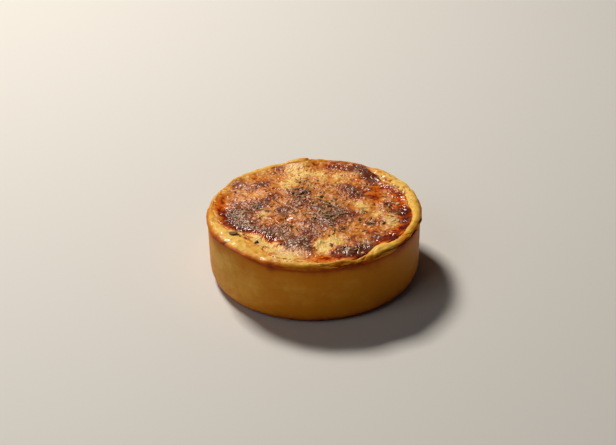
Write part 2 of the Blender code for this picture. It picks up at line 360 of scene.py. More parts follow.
def turned(name, profile, sides):
    """A closed piece: one ring extruded from station to station, with a fan at each end."""
    radius, height = profile[0]
    circle = {"vertices": sides, "radius": radius, "fill_type": "NGON", "location": (0.0, 0.0, height)}
    piece = start_from(bpy.ops.mesh.primitive_circle_add, name, **circle)
    bpy.ops.object.mode_set(mode="EDIT")
    bpy.ops.mesh.select_mode(type="FACE")
    bpy.ops.mesh.select_all(action="SELECT")
    bpy.ops.mesh.poke()
    select_border(piece)
    for next_radius, next_height in profile[1:]:
        bpy.ops.mesh.extrude_edges_move(
            TRANSFORM_OT_translate={"value": (0.0, 0.0, next_height - height)}
        )
        ratio = next_radius / radius
        bpy.ops.transform.resize(value=(ratio, ratio, 1.0), center_override=(0.0, 0.0, next_height))
        radius, height = next_radius, next_height
    fan_shut()
    face_outwards()
    return piece


crust = turned("pastry_crust", case_profile(), CAGE_SIDES)
round_off(crust, 2)
apply_all(crust)
print(f"crust cage rounded: {len(crust.data.vertices)} vertices, {triangles(crust)} triangles")

# %% [markdown]
# ## Press the rim by hand
#
# Each point of the turned case is moved by the unevenness from above. Then come the small things that
# happen to pastry in the oven: a notch where the rim tore, a lobe folded over the filling with a step at
# its end, a seam where two layers met, soft dimples from fingertips, and a crease that wanders a little.
# They are moves along the surface's own normal, like strokes of a sculpting brush.

# %% Press and crack the rim
RIM_CRACKS = (
    # direction, slant (degrees for each mm inward), half width, depth
    (90, 0.8, 0.50, 0.60), (286, -1.6, 0.50, 0.30), (292.5, 2.2, 0.45, 0.35), (300, 1, 0.80, 0.20),
    (333, -2.5, 0.45, 0.35), (151, 1.8, 0.50, 0.35), (60.5, -1.5, 0.60, 0.18), (226, 3, 0.45, 0.22),
)
# from and to which direction two layers part, and the rim is flaky
SEAM = (300.0, 356.0)
FLAKY = (271.0, 297.0)
LEAF = 0.95  # the flaky pastry's leaves are so far apart, in millimetres
DEGREE = math.radians(1.0)
TOP_ARC, FACE_ARC = 50.0, 52.0  # radii, in millimetres, that turn degrees into lengths along the rim


def polar(points):
    x, y = points[:, 0], points[:, 1]
    return np.hypot(x, y), np.degrees(np.arctan2(y, x)) % 360.0


def lobe_step(angle):
    """The folded lobe stands up sharply where it starts and dies away along the rim."""
    return 0.55 * MM * between(angle, 299.0, 320.0, 3.0, 17.0)


def press(points):
    """The big moves: lip width, crest height and the slight unevenness of the side."""
    radius, angle = polar(points)
    height = points[:, 2].copy()
    inward = np.clip((SHOULDER_RADIUS - radius) / LIP_WIDTH, 0.0, 1.0)
    settled = smooth_step(height, CREST - LIP_FOOT, CREST - 2.4 * MM)
    lift = np.clip((height - CREASE) / (CREST - 0.5 * MM - CREASE), 0.0, 1.0)
    on_lip = radius <= SHOULDER_RADIUS
    extra = crest_extra(angle) + lobe_step(angle)
    height += np.where(on_lip, settled, lift) * extra * (points[:, 2] > CREASE - 4 * MM)
    height += np.where(on_lip, 0.0, crease_extra(angle, points[:, 2]))
    turn = np.radians(angle)
    spots = np.stack([1.3 * np.cos(turn), 1.3 * np.sin(turn), points[:, 2] / (22.0 * MM)], axis=-1)
    bulge = 0.45 * MM * cloud(spots, 1.0) * smooth_step(points[:, 2], 0.0, 6.0 * MM)
    bulge *= np.where(on_lip, 1.0 - inward, 1.0) * (radius > INNER_RADIUS + 1 * MM)
    moved = radius - settled * inward * lip_extra(angle) + bulge
    return np.stack([moved * np.cos(turn), moved * np.sin(turn), height], axis=-1)


turned_points = points_of(crust)
turned_radius, crust_angle = polar(turned_points)
turned_height = turned_points[:, 2]
move_points(crust, press(turned_points))

pressed = points_of(crust)
pressed_mm = pressed / MM
pressed_radius, _ = polar(pressed)
from_rim = turned_radius > 45 * MM
on_rim = smooth_step(turned_height, CREASE - 0.6 * MM, CREASE + 0.5 * MM) * from_rim
on_top = smooth_step(turned_height, CREST - 1.2 * MM, CREST - 0.3 * MM) * from_rim
outside = smooth_step(turned_radius, SHOULDER_RADIUS - 0.5 * MM, RIM_RADIUS - 0.4 * MM)
below_crest = (CREST + crest_extra(crust_angle) - pressed[:, 2]) / MM

relief = clouds(pressed_mm, (0.50, 5.6, (3.1, 0, 0)), (0.16, 2.6, (0, 5.2, 0)), (0.05, 1.1, (0, 0, 8.3)))
relief = relief * on_rim + clouds(pressed_mm, (0.11, 13.0, (1, 7, 0)), (0.035, 3.0, (9, 0, 2)))
cracked = np.zeros(len(relief))
inward_mm = (RIM_RADIUS - pressed_radius) / MM
for direction, slant, half_width, depth in RIM_CRACKS:
    along = turned_apart(crust_angle, direction + slant * inward_mm) * DEGREE * TOP_ARC
    ragged = along + 0.35 * cloud(pressed_mm, 1.4, (direction, 0, 0))
    cut = bell(ragged, half_width) * on_rim * between(inward_mm, -1.0, 6.0, 1.4, 2.5)
    relief -= depth * cut
    cracked = np.maximum(cracked, min(1.0, depth / 0.6) * cut)

on_seam = between(crust_angle, *SEAM, 4, 12) * outside
seam_line = 1.55 + 0.35 * cloud(pressed_mm * [1, 1, 0], 7.0, (2, 2, 0))
seam_gap = below_crest - seam_line - 0.25 * cloud(pressed_mm, 1.6, (4, 0, 4))
relief -= 0.55 * on_seam * bell(seam_gap, 0.28)
relief += 0.30 * on_seam * smooth_step(-seam_gap, 0.0, 0.5) * on_rim
cracked = np.maximum(cracked, 0.9 * on_seam * bell(seam_gap, 0.32))

leaf_height = below_crest + 0.11 * (crust_angle - FLAKY[0]) + 0.5 * cloud(pressed_mm, 4.0, (6, 1, 0))
leaf_edge = np.abs((leaf_height / LEAF) % 1.0 - 0.5) * 2.0
leaf_cut = between(crust_angle, *FLAKY, 7, 2) * on_rim * outside * smooth_step(leaf_edge, 0.6, 1.0)
relief -= 0.26 * leaf_cut
cracked = np.maximum(cracked, 0.5 * leaf_cut)

relief += 0.25 * on_top * ripple(crust_angle, 55, 1.0, 12.0)
relief += 0.22 * on_top * cloud(pressed_mm, 2.2, (4, 2, 7)) * (turned_radius < SHOULDER_RADIUS)
relief[turned_radius < INNER_RADIUS + 0.3 * MM] = 0.0
relief[turned_height < 0.5 * MM] = 0.0
move_points(crust, pressed + points_of(crust, "normal") * (relief * MM)[:, None])
crust_points = points_of(crust)
print(
    f"rim pressed: {crust_points[:, 2].max() / MM:.2f} mm high, "
    f"{np.ptp(crust_points[:, 0]) / MM:.1f} x {np.ptp(crust_points[:, 1]) / MM:.1f} mm"
)

# %% [markdown]
# ## Where the crust browned, and where shade is painted on it
#
# Pastry browns first where it is thin or stands out, where fat runs, and in the crease where it fried
# against the tin. The same number also carries painted shade down the roll's outer face, in the crease, on
# the side just under the rim and on the side's front right, and painted light on the side's front left and
# on the folded lobe. The number kept here runs from 0, pale gold, to 1, deep brown.

# %% Note the crust's browning and painted shade
# the palest entry, the lobe at 310 degrees, is partly painted light: the lobe faces away from the key lamp
RIM_BROWNING = (
    # direction, spread, amount
    (75, 14, 0.28), (58, 8, 0.20), (98, 6, -0.10), (150, 34, -0.08), (210, 26, -0.16), (238, 10, -0.08),
    (265, 14, -0.20), (290, 7, 0.05), (310, 9, -0.44), (324, 6, 0.08), (352, 18, -0.20), (24, 20, -0.24),
)
# painted light and shade on the side under the rim: darker towards the front and front right, lighter at
# the front left, as light falls from the back left; direction, spread, amount
SIDE_PAINTED_LIGHT_AND_SHADE = ((315, 40, 0.12), (215, 22, -0.08), (262, 20, 0.04))
CRUST_SPOTS = (
    # direction, drop under the crest, size (mm), amount: a scorched speck and a few darker drips
    (214.5, 0.85, 0.80, 1.2), (199, 3.3, 1.2, 0.25), (247, 3.2, 2.2, 0.25), (322, 2.8, 1.5, 0.25),
)

MELT_AND_HIGHLIGHT = (
    # direction, spread, amount: where cheese ran thinly over the lip; along the crest its cream is partly
    # painted highlight
    (210, 20, 1), (250, 12, 0.8), (28, 22, 1), (309, 7, 0.4), (278, 22, 0.4), (130, 30, 0.4),
    (340, 16, 0.3),
)


def cream_blobs(points):
    """Thin runs of cheese set in pale blobs, on pastry and cheese alike, their cream partly painted
    highlight: 1 in a blob, 0.25 away from it.
    """
    blobs = clouds(points * [1, 1, 0], (1.0, 2.6, (7, 1, 0)), (0.5, 1.1, (1, 9, 0)))
    return 0.25 + 0.75 * smooth_step(blobs, -0.15, 0.40)


rolled = np.clip((turned_height - CREASE) / (CREST - CREASE), 0.0, 1.0)
under_rim = (turned_height < CREASE) * (turned_radius > INNER_RADIUS + 1 * MM)
browning = 0.30 + swell(crust_angle, RIM_BROWNING) * on_rim
# darker down the roll's outer face towards the crease: partly browning, partly painted shade
browning += on_rim * outside * (0.36 * np.sqrt(1.0 - rolled) + 0.10)
# the outer edge beside the broad ledge, then the crease and the side under it, all partly browning and
# partly painted shade under the roll; then the base's corner
beside_ledge = swell(crust_angle, ((218, 20, 1.0),)) * smooth_step(pressed_radius, 48.8 * MM, 51.8 * MM)
browning += 0.26 * on_rim * beside_ledge
browning += 0.16 * bell(turned_height - CREASE, 0.8 * MM) * (turned_radius > 49 * MM)
browning += 0.20 * bell(turned_height - CREASE, 3.0 * MM) * under_rim
browning += 0.30 * bell(turned_height, 4.0 * MM) * (turned_radius > 40 * MM)
browning -= 0.05 * between(turned_height, 6 * MM, 27 * MM, 7 * MM, 7 * MM)
# painted shade on the side's front and front right, painted light on its front left
browning += swell(crust_angle, SIDE_PAINTED_LIGHT_AND_SHADE) * under_rim
# the lip's inner edge fried in fat, but not along the ledge
edge_gap = (pressed_radius - lip_edge(crust_angle)) / MM
fried = bell(edge_gap, 1.0) * (turned_radius < SHOULDER_RADIUS)
browning += 0.20 * on_rim * fried * (1.0 - swell(crust_angle, ((224, 20, 1.0),)))
browning += on_rim * clouds(pressed_mm, (0.16, 4.2, (0, 3, 5)), (0.10, 1.5, (2, 3, 9)))
browning += 0.08 * cloud(pressed_mm, 9.0, (8, 3, 1)) + 0.32 * cracked
for direction, drop, size, amount in CRUST_SPOTS:
    sideways = turned_apart(crust_angle, direction) * DEGREE * FACE_ARC
    away = np.hypot(sideways, below_crest - drop) + 0.3 * cloud(pressed_mm, 0.9, (direction, 1, 0))
    browning += amount * bell(away, size) * (turned_radius > SHOULDER_RADIUS - 1 * MM)
veins = crests(pressed_mm, 4.6, (3, 8, 0), 0.13)
browning += 0.22 * veins * on_top * swell_share(crust_angle, ((215, 26, 1.0), (25, 20, 0.8)))
# cheese that ran over the lip is pale, with brown freckles in some places; its cream along the crest is
# partly painted highlight
melt_and_highlight = np.clip(0.2 + swell(crust_angle, MELT_AND_HIGHLIGHT), 0.0, 1.0) * on_top
melt_and_highlight *= 1.0 - smooth_step(pressed_radius, 49.0 * MM, 51.5 * MM)
freckled = swell(crust_angle, ((24, 22, 1.0), (250, 12, 0.5), (309, 7, 0.2)))
freckles = smooth_step(clouds(pressed_mm, (1.0, 1.7, (6, 6, 1)), (0.5, 0.8, (1, 6, 6))), 0.15, 0.55)
browning += melt_and_highlight * (1.1 * freckled * freckles - 0.12)
melt_and_highlight *= 1.0 - 0.8 * np.clip(freckled, 0.0, 1.0) * freckles
note(crust, "browning", np.clip(browning, 0.0, 1.4))
note(crust, "melt_and_highlight", melt_and_highlight * cream_blobs(pressed_mm))
smooth_shaded(crust)
print(f"crust browning {browning.min():.2f} to {browning.max():.2f}")

# %% [markdown]
# ## The baked cheese top
#
# On the real pie grated cheese melted into one glossy skin, level with the rim, then blistered, wrinkled
# and browned. A square grid keeps its faces the same size all over, which a fan of rings wouldn't, so a
# fine grid is bent onto a disc. Its edge is then extruded down to the filling's own side and base, so
# that the piece is a closed body with the solid's form.

# %% A grid bent onto a disc, with the filling's side under it
TOP_CELLS = 300
LAP = (
    # where melted cheese ran over the lip: direction, spread, how far
    (251, 9, 2.6 * MM), (264, 5, 0.9 * MM), (128, 14, 0.8 * MM), (158, 14, 0.5 * MM), (338, 12, 0.3 * MM),
)
LEFT_LOW = (
    # direction, spread, how much lower than the rim (mm) the cheese stayed: at the back it sank a little
    (70, 14, 0.5), (122, 30, -0.20), (160, 20, -0.10),
)
UNDER_LIP = 0.75 * MM  # the film of cheese dives under its own edge over this width


def lap(angle):
    """How far the cheese runs out over the lip: in ragged little tongues."""
    ragged = ripple(angle, 64, 0.9 * MM, 21.0) + ripple(angle, 130, 0.5 * MM, 33.0)
    return np.maximum(0.1 * MM, 0.5 * MM + swell(angle, LAP) + ragged)


def outline_radius(angle):
    return np.minimum(lip_edge(angle) + lap(angle) + UNDER_LIP, SHOULDER_RADIUS - 0.4 * MM)


grid = {"x_subdivisions": TOP_CELLS, "y_subdivisions": TOP_CELLS, "size": 2.0}
top = start_from(bpy.ops.mesh.primitive_grid_add, "baked_cheese", **grid)
u, v = points_of(top).T[:2]
ring = np.maximum(np.abs(u), np.abs(v))
steep = np.abs(v) > np.abs(u)
safe_u = np.where(np.abs(u) < 1e-9, 1e-9, u)
safe_v = np.where(np.abs(v) < 1e-9, 1e-9, v)
bend = np.where(steep, math.pi / 2 - math.pi / 4 * u / safe_v, math.pi / 4 * v / safe_u)
top_turn = bend + math.pi * np.where(steep, v < 0, u < 0)
top_angle = np.degrees(top_turn) % 360.0
top_radius = ring * LIP_EDGE_RADIUS + (outline_radius(top_angle) - LIP_EDGE_RADIUS) * ring**6
top_x = top_radius * np.cos(top_turn)
top_y = top_radius * np.sin(top_turn)
print(f"cheese grid: {len(top_x)} points, {np.ptp(top_x) / MM:.1f} mm across")

# %% [markdown]
# ## Where the top is dark, pale, amber and green
#
# No two spots of a baked top have the same colour. The places are given as soft round patches: dark
# where it puffed up towards the heat, pale where plain cheese lay thick, amber where the fat pooled, and
# green where the herbs fell. Both the relief and the colours read them, through coordinates that a noise
# has warped, so that no patch stays round.

# %% The patches of the top
# in millimetres: x, y, spread, amount
BROWN_PATCHES = (
    (-36, -3, 5.4, 0.62), (-43, -2, 3, 0.34), (-38, -11, 4.2, 0.44), (-31, -14, 5, 0.50),
    (-37, 8, 4.4, 0.26), (-27, 4, 3.6, 0.42), (-24, 9, 3, 0.36), (-37, 27, 4, 0.30),
    (-25, 27, 3.6, 0.32), (-29, 22, 3, 0.22), (-19, 15, 3.4, 0.22), (-17, 43, 3.4, 0.30),
    (11, 45, 4, 0.25), (20, 42, 3.6, 0.34), (28, 35, 4.8, 0.85), (31, 28, 3.6, 0.60), (24, 40, 3.4, 0.50),
    (19, 17, 4.8, 0.34), (16, 22, 3, 0.24), (22, 12, 3.4, 0.26), (28, 18, 2.2, 0.30), (36, 3, 2.6, 0.45),
    (43, -4, 3.6, 0.60), (38, -4, 2.6, 0.30), (44, -13, 3, 0.40), (43, -20, 3.6, 0.50),
    (37, -28, 3.8, 0.55), (29, -28, 4, 0.32), (24, -34, 3.6, 0.42), (20, -40, 4.6, 0.85),
    (14, -38, 3.4, 0.45), (27, -39, 3, 0.50), (10, -43, 3, 0.35), (13, -4, 4, 0.42),
    (7, -9, 5, 0.36), (19, -7, 3, 0.22), (0, -13, 4.5, 0.28), (11, -15, 3.5, 0.20),
    (28, -14, 2.6, 0.20), (-5, -30, 4.6, 0.56), (-12, -25, 4.6, 0.42), (-19, -22, 4.2, 0.44),
    (-24, -19, 3.4, 0.44), (-11, -32, 3.2, 0.46), (-3, -37, 3, 0.40), (0, -22, 4, 0.26),
    (-7, 16, 4.6, 0.30), (-8, 7, 4.4, 0.24), (0, 2, 5, 0.20), (-14, -1, 4, 0.22), (-16, -16, 3.5, 0.20),
    (42, 12, 2.6, 0.36), (39, 19, 2.4, 0.26), (38, 6, 2, 0.24), (30, 11, 2.6, 0.24),
)
PALE_PATCHES = (
    (-12, 26, 5, 0.34), (-6, 34, 6, 0.30), (-10, 42, 4.2, 0.18), (3, 37, 4.6, 0.28),
    (14, 31, 5, 0.22), (20, 37, 2.8, 0.34), (4, 13, 3, 0.14), (3, -36, 4.2, 0.50), (9, -30, 4.2, 0.40),
    (3, -31, 3.4, 0.30), (-26, -24, 4, 0.40), (-15, -38, 4, 0.50), (-8, -41, 3, 0.36),
    (-24, -4, 3, 0.34), (37, -12, 3.4, 0.36), (38, -18, 2.6, 0.20), (30, -5, 4, 0.26),
    (23, 3, 4.4, 0.24), (-30, 18, 3.5, 0.18), (35, 10, 2.4, 0.14),
)
# painted highlights: where the glossy skin's curls glint white
GLINT_PATCHES = (
    (-24, -3, 3.2, 0.7), (-14, -38, 4.4, 1.2), (-6, -41, 3.4, 1), (37, -12, 3.8, 0.9), (21, 36, 3.8, 0.8),
    (-37, 27, 4.2, 0.7), (-34, 12, 4.4, 0.5), (-12, 44, 3.6, 0.8), (-14, -24, 4.4, 0.5),
    (-33, -6, 4, 0.4), (24, -33, 3.4, 0.5), (33, -2, 3, 0.4), (2, -19, 4, 0.3), (-28, -31, 3, 0.8),
    (-12, -37, 3.4, 0.6),
)
HERB_PATCHES = (
    (-6, 15, 6, 0.6), (6, 2, 7, 0.6), (8, -10, 8, 0.7), (-27, 5, 4, 0.5), (-14, -2, 4, 0.5),
    (-5, 28, 3.6, 0.5), (-6, -17, 5, 0.3), (0, 0, 18, 0.35),
)
AMBER_PATCHES = (
    (30, 19, 3.4, 1.1), (30, 13, 3.4, 1.2), (32, 7, 3.2, 0.8), (36, 3, 3, 1), (41, 5, 3, 0.6),
    (41, 12, 3.4, 0.9), (38, 19, 2.6, 0.5), (33, 26, 3, 0.5), (28, 34, 5, 0.9), (-45, 4, 4, 0.6),
    (-42, -6, 2.8, 0.6), (-38, -14, 2.8, 0.5), (-43, 13, 3.4, 0.3), (43, -5, 4, 0.9), (42, -20, 4, 1),
    (37, -28, 4.6, 1), (4, -44, 3.6, 1.1), (11, -43, 3.4, 0.8), (-3, -43, 3, 0.6), (22, -40, 4.6, 0.9),
    (-20, -26, 3, 0.6), (-31, -17, 2.8, 0.6), (-14, -29, 3, 0.5), (-13, -9, 5, 0.6),
    (-30, 16, 3.4, 0.5), (25, -18, 5, 0.5), (-18, 20, 3, 0.3), (-27, 34, 4, 0.4), (-16, 34, 4, 0.4),
    (12, 40, 4, 0.3), (22, 27, 3.5, 0.35),
)
LEDGE_RUN = (
    # direction, spread, how far (mm) from the lip's edge the browned skin stops short
    (242, 13, 9), (218, 12, 4.2), (186, 8, 1.4),
)


flat_mm = np.stack([top_x, top_y, 0.0 * top_x], axis=-1) / MM
warp_x = clouds(flat_mm, (1.5, 5.0, (11, 0, 0)), (0.6, 1.9, (0, 13, 0)))
warp_y = clouds(flat_mm, (1.5, 5.0, (0, 17, 0)), (0.6, 1.9, (19, 0, 0)))
drawn = flat_mm + np.stack([warp_x, warp_y, 0.0 * warp_x], axis=-1)
spot_x, spot_y, _ = drawn.T
lip_gap = (top_radius - lip_edge(top_angle)) / MM
# along the broad ledge plain cheese ran out between the browned skin and the pastry
ledge_run = swell(top_angle, LEDGE_RUN)
ledge = np.clip(ledge_run / 4.0, 0.0, 1.0)
skin_gap = lip_gap + ledge_run + 0.9 * cloud(flat_mm, 3.4, (5, 5, 0))
ledge_cheese = ledge * smooth_step(skin_gap, -1.0, 1.5)
darkened = bells(spot_x, spot_y, BROWN_PATCHES) * (1.0 - 0.9 * ledge_cheese)
paled = bells(spot_x, spot_y, PALE_PATCHES) + 0.5 * ledge_cheese
pooled_fat = np.clip(bells(spot_x, spot_y, AMBER_PATCHES), 0.0, 1.0)
print(f"dark patches cover {np.mean(darkened > 0.3):.0%} of the top, pale {np.mean(paled > 0.25):.0%}")

# %% [markdown]
# ## The skin's relief
#
# From large to small: the puffs that the plain solid has too, shreds that didn't quite melt away, blisters
# with thin walls, wrinkles, and a fine pebbling. The wrinkles are the places where a noise passes through
# zero, which makes long thin crests that wander and join, as a skin's do.

# %% Raise the skin
def filling_height(x, y):
    """The plain solid's top, at arrays of x and y in metres."""
    angle = np.degrees(np.arctan2(y, x))
    share = np.minimum(1.0, np.hypot(x, y) / lip_edge(angle))
    edge = CREST + crest_extra(angle) - EDGE_DROP
    middle = CREST - EDGE_DROP
    height = middle + (edge - middle) * share**4 + DOME * (1.0 - share**4)
    spots = np.stack([x, y, 0.0 * x], axis=-1) / MM
    puffs = bells(x / MM, y / MM, FILLING_SWELLS)
    puffs = puffs + clouds(spots, (0.55, 6.5, ANYWHERE), (0.45, 3.6, (9, 4, 0)))
    return height + (1.0 - share**8) * MM * puffs


def tree_of(piece):
    """The piece's faces, sorted so that rays find them quickly."""
    return BVHTree.FromObject(piece, bpy.context.evaluated_depsgraph_get())


def drop_on(tree, x, y):
    """Where a ray from above first meets the piece, and the surface's normal there."""
    place, normal, _, _ = tree.ray_cast(Vector((x, y, 2 * CREST)), -UP)
    return place, normal


def crust_under(x, y, wanted):
    """The height of the pastry under the wanted points; the others keep 0."""
    found = np.zeros(len(x))
    for i in np.nonzero(wanted)[0]:
        found[i] = drop_on(crust_tree, x[i], y[i])[0].z
    return found


crust_tree = tree_of(crust)
wrinkle = crests(drawn, 2.6, (0, 0, 3), 0.16)
fine_wrinkle = crests(drawn, 1.35, (5, 0, 6), 0.20)
pebbles = cloud(flat_mm, 1.0, (0, 7, 9))


BLISTER_RADIUS = 0.46  # in cells


def blister_field(points, cell, keep, seed):
    """
    Round domes in some cells of a Voronoi pattern; keep is the share of cells that blistered. The sine of
    large multiples of a cell's place is as good as chance, and the same in each run.
    """
    field = np.zeros(len(points))
    for index, point in enumerate(points / cell + seed):
        distances, centres = noise.voronoi(Vector(point))
        chance = 0.5 + 0.5 * math.sin(91.7 * centres[0].x + 47.3 * centres[0].y)
        if chance < keep:
            field[index] = max(0.0, 1.0 - (distances[0] / BLISTER_RADIUS) ** 2)
    return field


blisters = blister_field(drawn * [1, 1, 0], 3.1, 0.42, 4.0)
rough_zone = np.clip(0.45 + 0.7 * cloud(flat_mm, 9.0, (2, 9, 0)) + 0.7 * darkened, 0.2, 1.2)

# shreds of cheese that kept their shape: short bent strokes, seeded so that each run draws the same, and
# every other one in a dark patch, where they shrivelled into curls
SHRED_COUNT = 620
STROKE = 0.35  # a stroke is drawn in steps of so many millimetres


def anywhere(draw):
    """A random place on the pie's top, in millimetres."""
    reach, around = CHEESE_REACH * math.sqrt(draw.random()), draw.uniform(0.0, math.tau)
    return reach * math.cos(around), reach * math.sin(around), around


draw = random.Random(11)
shreds = np.zeros(len(top_x))
for number in range(SHRED_COUNT):
    if number % 2:
        centre_x, centre_y, spread, _ = draw.choice(BROWN_PATCHES)
        start_x, start_y = draw.gauss(centre_x, 0.8 * spread), draw.gauss(centre_y, 0.8 * spread)
    else:
        start_x, start_y, _ = anywhere(draw)
    heading = draw.uniform(0.0, math.tau)
    bend_rate = draw.uniform(-0.95, 0.95)
    length, half_width = draw.uniform(2.4, 6.6), draw.uniform(0.36, 0.64)
    near = np.hypot(flat_mm[:, 0] - start_x, flat_mm[:, 1] - start_y) < length + 2.0
    local = flat_mm[near]
    nearest = np.full(len(local), np.inf)
    for _ in range(int(length / STROKE)):
        nearest = np.minimum(nearest, np.hypot(local[:, 0] - start_x, local[:, 1] - start_y))
        start_x += STROKE * math.cos(heading)
        start_y += STROKE * math.sin(heading)
        heading += bend_rate * STROKE
    shreds[near] = np.maximum(shreds[near], np.clip(1.0 - (nearest / half_width) ** 2, 0.0, 1.0))

inside_edge = 1.0 - smooth_step(ring, 0.955, 1.0)
skin = 0.46 * shreds * (0.4 + 0.6 * rough_zone) + 0.40 * blisters * rough_zone
skin += 0.36 * wrinkle * rough_zone + 0.14 * fine_wrinkle + 0.07 * pebbles
skin *= (0.35 + 0.65 * inside_edge) * (1.0 - 0.55 * pooled_fat) * (1.0 + 0.25 * ledge_cheese)

# near the rim the skin climbs to the lip, runs out over it as a thin film, then dives under its own edge
rim_level = CREST + crest_extra(top_angle) - (0.35 + swell(top_angle, LEFT_LOW)) * MM
climb = smooth_step(lip_gap, -6.5, 0.9) ** 1.5
height = filling_height(top_x, top_y) * (1.0 - climb) + rim_level * climb + (1.0 - 0.6 * climb) * skin * MM
film = 0.22 + 0.16 * cloud(flat_mm, 1.3, (3, 3, 0)) + 0.18 * wrinkle
to_edge = outline_radius(top_angle) - UNDER_LIP - top_radius
dive = smooth_step(-to_edge, 0.0, UNDER_LIP)
film *= smooth_step(lip_gap, -0.8, 0.4) * (0.3 + 0.7 * smooth_step(to_edge, 0.0, 1.2 * MM))
over_lip = lip_gap > -0.8
lapped = crust_under(top_x, top_y, over_lip) + (film - 1.5 * dive) * MM
height = np.where(over_lip, np.maximum(height - 2.0 * MM * dive, lapped), height)
move_points(top, np.stack([top_x, top_y, height], axis=-1))
print(f"skin from {height.min() / MM:.2f} to {height.max() / MM:.2f} mm high")

# %% [markdown]
# ## Where the cheese browned
#
# The patches give the large colours. Noise of several sizes mottles them, the skin burnt to rust along the
# broad ledge, and fat stained the cheese amber all round the rim. Crests of shreds and wrinkles are pale,
# partly dried cheese and partly painted highlight, and a few patches of painted glints whiten them more.

# %% Note the top's colours
SKIN_RUST = (
    # direction, spread, amount: where the skin's edge burnt
    (215, 30, 1), (240, 10, 0.6), (72, 14, 0.6), (300, 26, 0.8), (172, 12, 0.5), (352, 24, 0.8),
    (28, 14, 0.5),
)
RIM_FAT = (
    # direction, spread, amount: where fat fried along the rim
    (318, 32, 1), (172, 14, 0.6), (50, 10, 0.5), (268, 10, 0.5), (8, 12, 0.4), (215, 22, 0.6),
)

stains = clouds(flat_mm, (1.0, 3.2, (2, 4, 0)), (0.5, 1.3, (5, 4, 0)))
stains = ledge_cheese * smooth_step(stains, -0.12, 0.32)
blotches = smooth_step(cloud(drawn, 1.9, (4, 8, 1)), 0.05, 0.45)
rust = swell_share(top_angle, SKIN_RUST) * bell(skin_gap + 2.6, 2.2)
top_brown = 0.45 + 1.55 * darkened * (1.0 - 0.5 * rust) - 1.15 * paled + 0.30 * rust
top_brown += 0.24 * cloud(drawn, 3.4, (1, 1, 4)) + 0.20 * cloud(flat_mm, 1.25, (7, 2, 0))
top_brown += 0.10 * (blisters - 0.15)
top_brown += 0.30 * (blotches - 0.3) * np.clip(0.35 + top_brown, 0.2, 1.0)
top_brown += 0.14 * cloud(flat_mm, 7.0, (0, 2, 6)) + 0.60 * stains
near_edge = smooth_step(skin_gap, -6.5, -1.0) * (1.0 - ledge_cheese)
top_brown -= 0.12 * near_edge * (1.0 - rust)
rim_fat = 0.15 + 0.85 * swell_share(top_angle, RIM_FAT)
top_amber = pooled_fat + 0.8 * near_edge * rim_fat + 0.7 * rust + 0.8 * stains
top_amber += 0.50 * cloud(drawn, 4.4, (8, 1, 2)) - 0.10
top_amber *= 1.0 - 0.8 * np.clip(paled, 0.0, 1.0)
# pale crests of shreds and wrinkles: partly dried cheese, partly painted highlight; the glint patches add
# painted highlights
curls = shreds + 0.45 * wrinkle + 0.35 * fine_wrinkle
painted_glints = np.clip(bells(spot_x, spot_y, GLINT_PATCHES), 0.0, 1.0)
dried_and_glint = curls * (0.15 + 0.85 * np.clip(darkened, 0.0, 1.0)) * (1.0 - 0.8 * np.clip(top_amber, 0.0, 1.0))
dried_and_glint += 1.3 * painted_glints * (0.25 + 0.5 * ledge_cheese + 0.75 * np.clip(curls, 0.0, 1.0))
# cream of thin cheese along the ledge, partly painted highlight
creamy = ledge_cheese * cream_blobs(flat_mm) * (1.0 - 0.8 * stains) * (1.0 - 0.8 * painted_glints)
LAYERS = {
    "browning": np.clip(top_brown, 0.0, 1.3),
    "amber": np.clip(top_amber, 0.0, 1.0),
    "dried_and_glint": np.clip(dried_and_glint, 0.0, 1.4),
    "herb_dust": np.clip(bells(spot_x, spot_y, HERB_PATCHES), 0.0, 1.0),
    "melt_and_highlight": creamy,
}
for layer_name, layer_values in LAYERS.items():
    note(top, layer_name, layer_values)
print("top notes:", {name: round(float(values.mean()), 2) for name, values in LAYERS.items()})

# %% Close the filling: down under the lip, down the side and across the base
SKIRT = ((CREST - LIP_FOOT, 0.985), (BASE_THICKNESS + 1.2 * MM, 1.0), (BASE_THICKNESS, 0.97))
take_up(top)
bpy.ops.object.mode_set(mode="EDIT")
select_border(top)
for drop_to, shrink in SKIRT:
    bpy.ops.mesh.extrude_edges_move()
    bpy.ops.transform.resize(value=(shrink, shrink, 0.0), center_override=(0.0, 0.0, drop_to))
fan_shut()
face_outwards()
smooth_shaded(top)
print(f"baked cheese closed: {triangles(top)} triangles")
skin_tree = tree_of(top)


def ground(x, y):
    """The highest surface of cheese or pastry at a place in millimetres, and its normal."""
    found = [drop_on(tree, x * MM, y * MM) for tree in (skin_tree, crust_tree)]
    return max((hit for hit in found if hit[0] is not None), key=lambda hit: hit[0].z)


# %% [markdown]
# ## Scattered things: one small shape, many copies
#
# Dried herbs, stems, pale wisps, crumbs and specks are each modelled once or a few times, then copied by
# hundreds; the wisps are partly unmelted cheese and partly painted highlights. A helper gathers the copies
# of one kind into a single mesh from arrays, and gives every copy a number of its own from 0 to 1, so that
# no two flakes have quite the same colour.

# %% The gatherer
def gather(name, copies):
    """One mesh from (model, matrix, own number) copies; the models are left for the caller."""
    verts, faces, tones = [], [], []
    for source, matrix, tone in copies:
        offset = len(verts)
        verts.extend((matrix @ vertex.co)[:] for vertex in source.data.vertices)
        faces.extend(tuple(offset + i for i in face.vertices) for face in source.data.polygons)
        tones.extend([tone] * len(source.data.vertices))
    piece = new_piece(name, verts, faces)
    note(piece, "tone", np.array(tones))
    smooth_shaded(piece)
    print(f"{name}: {len(copies)} copies, {triangles(piece)} triangles")
    return piece


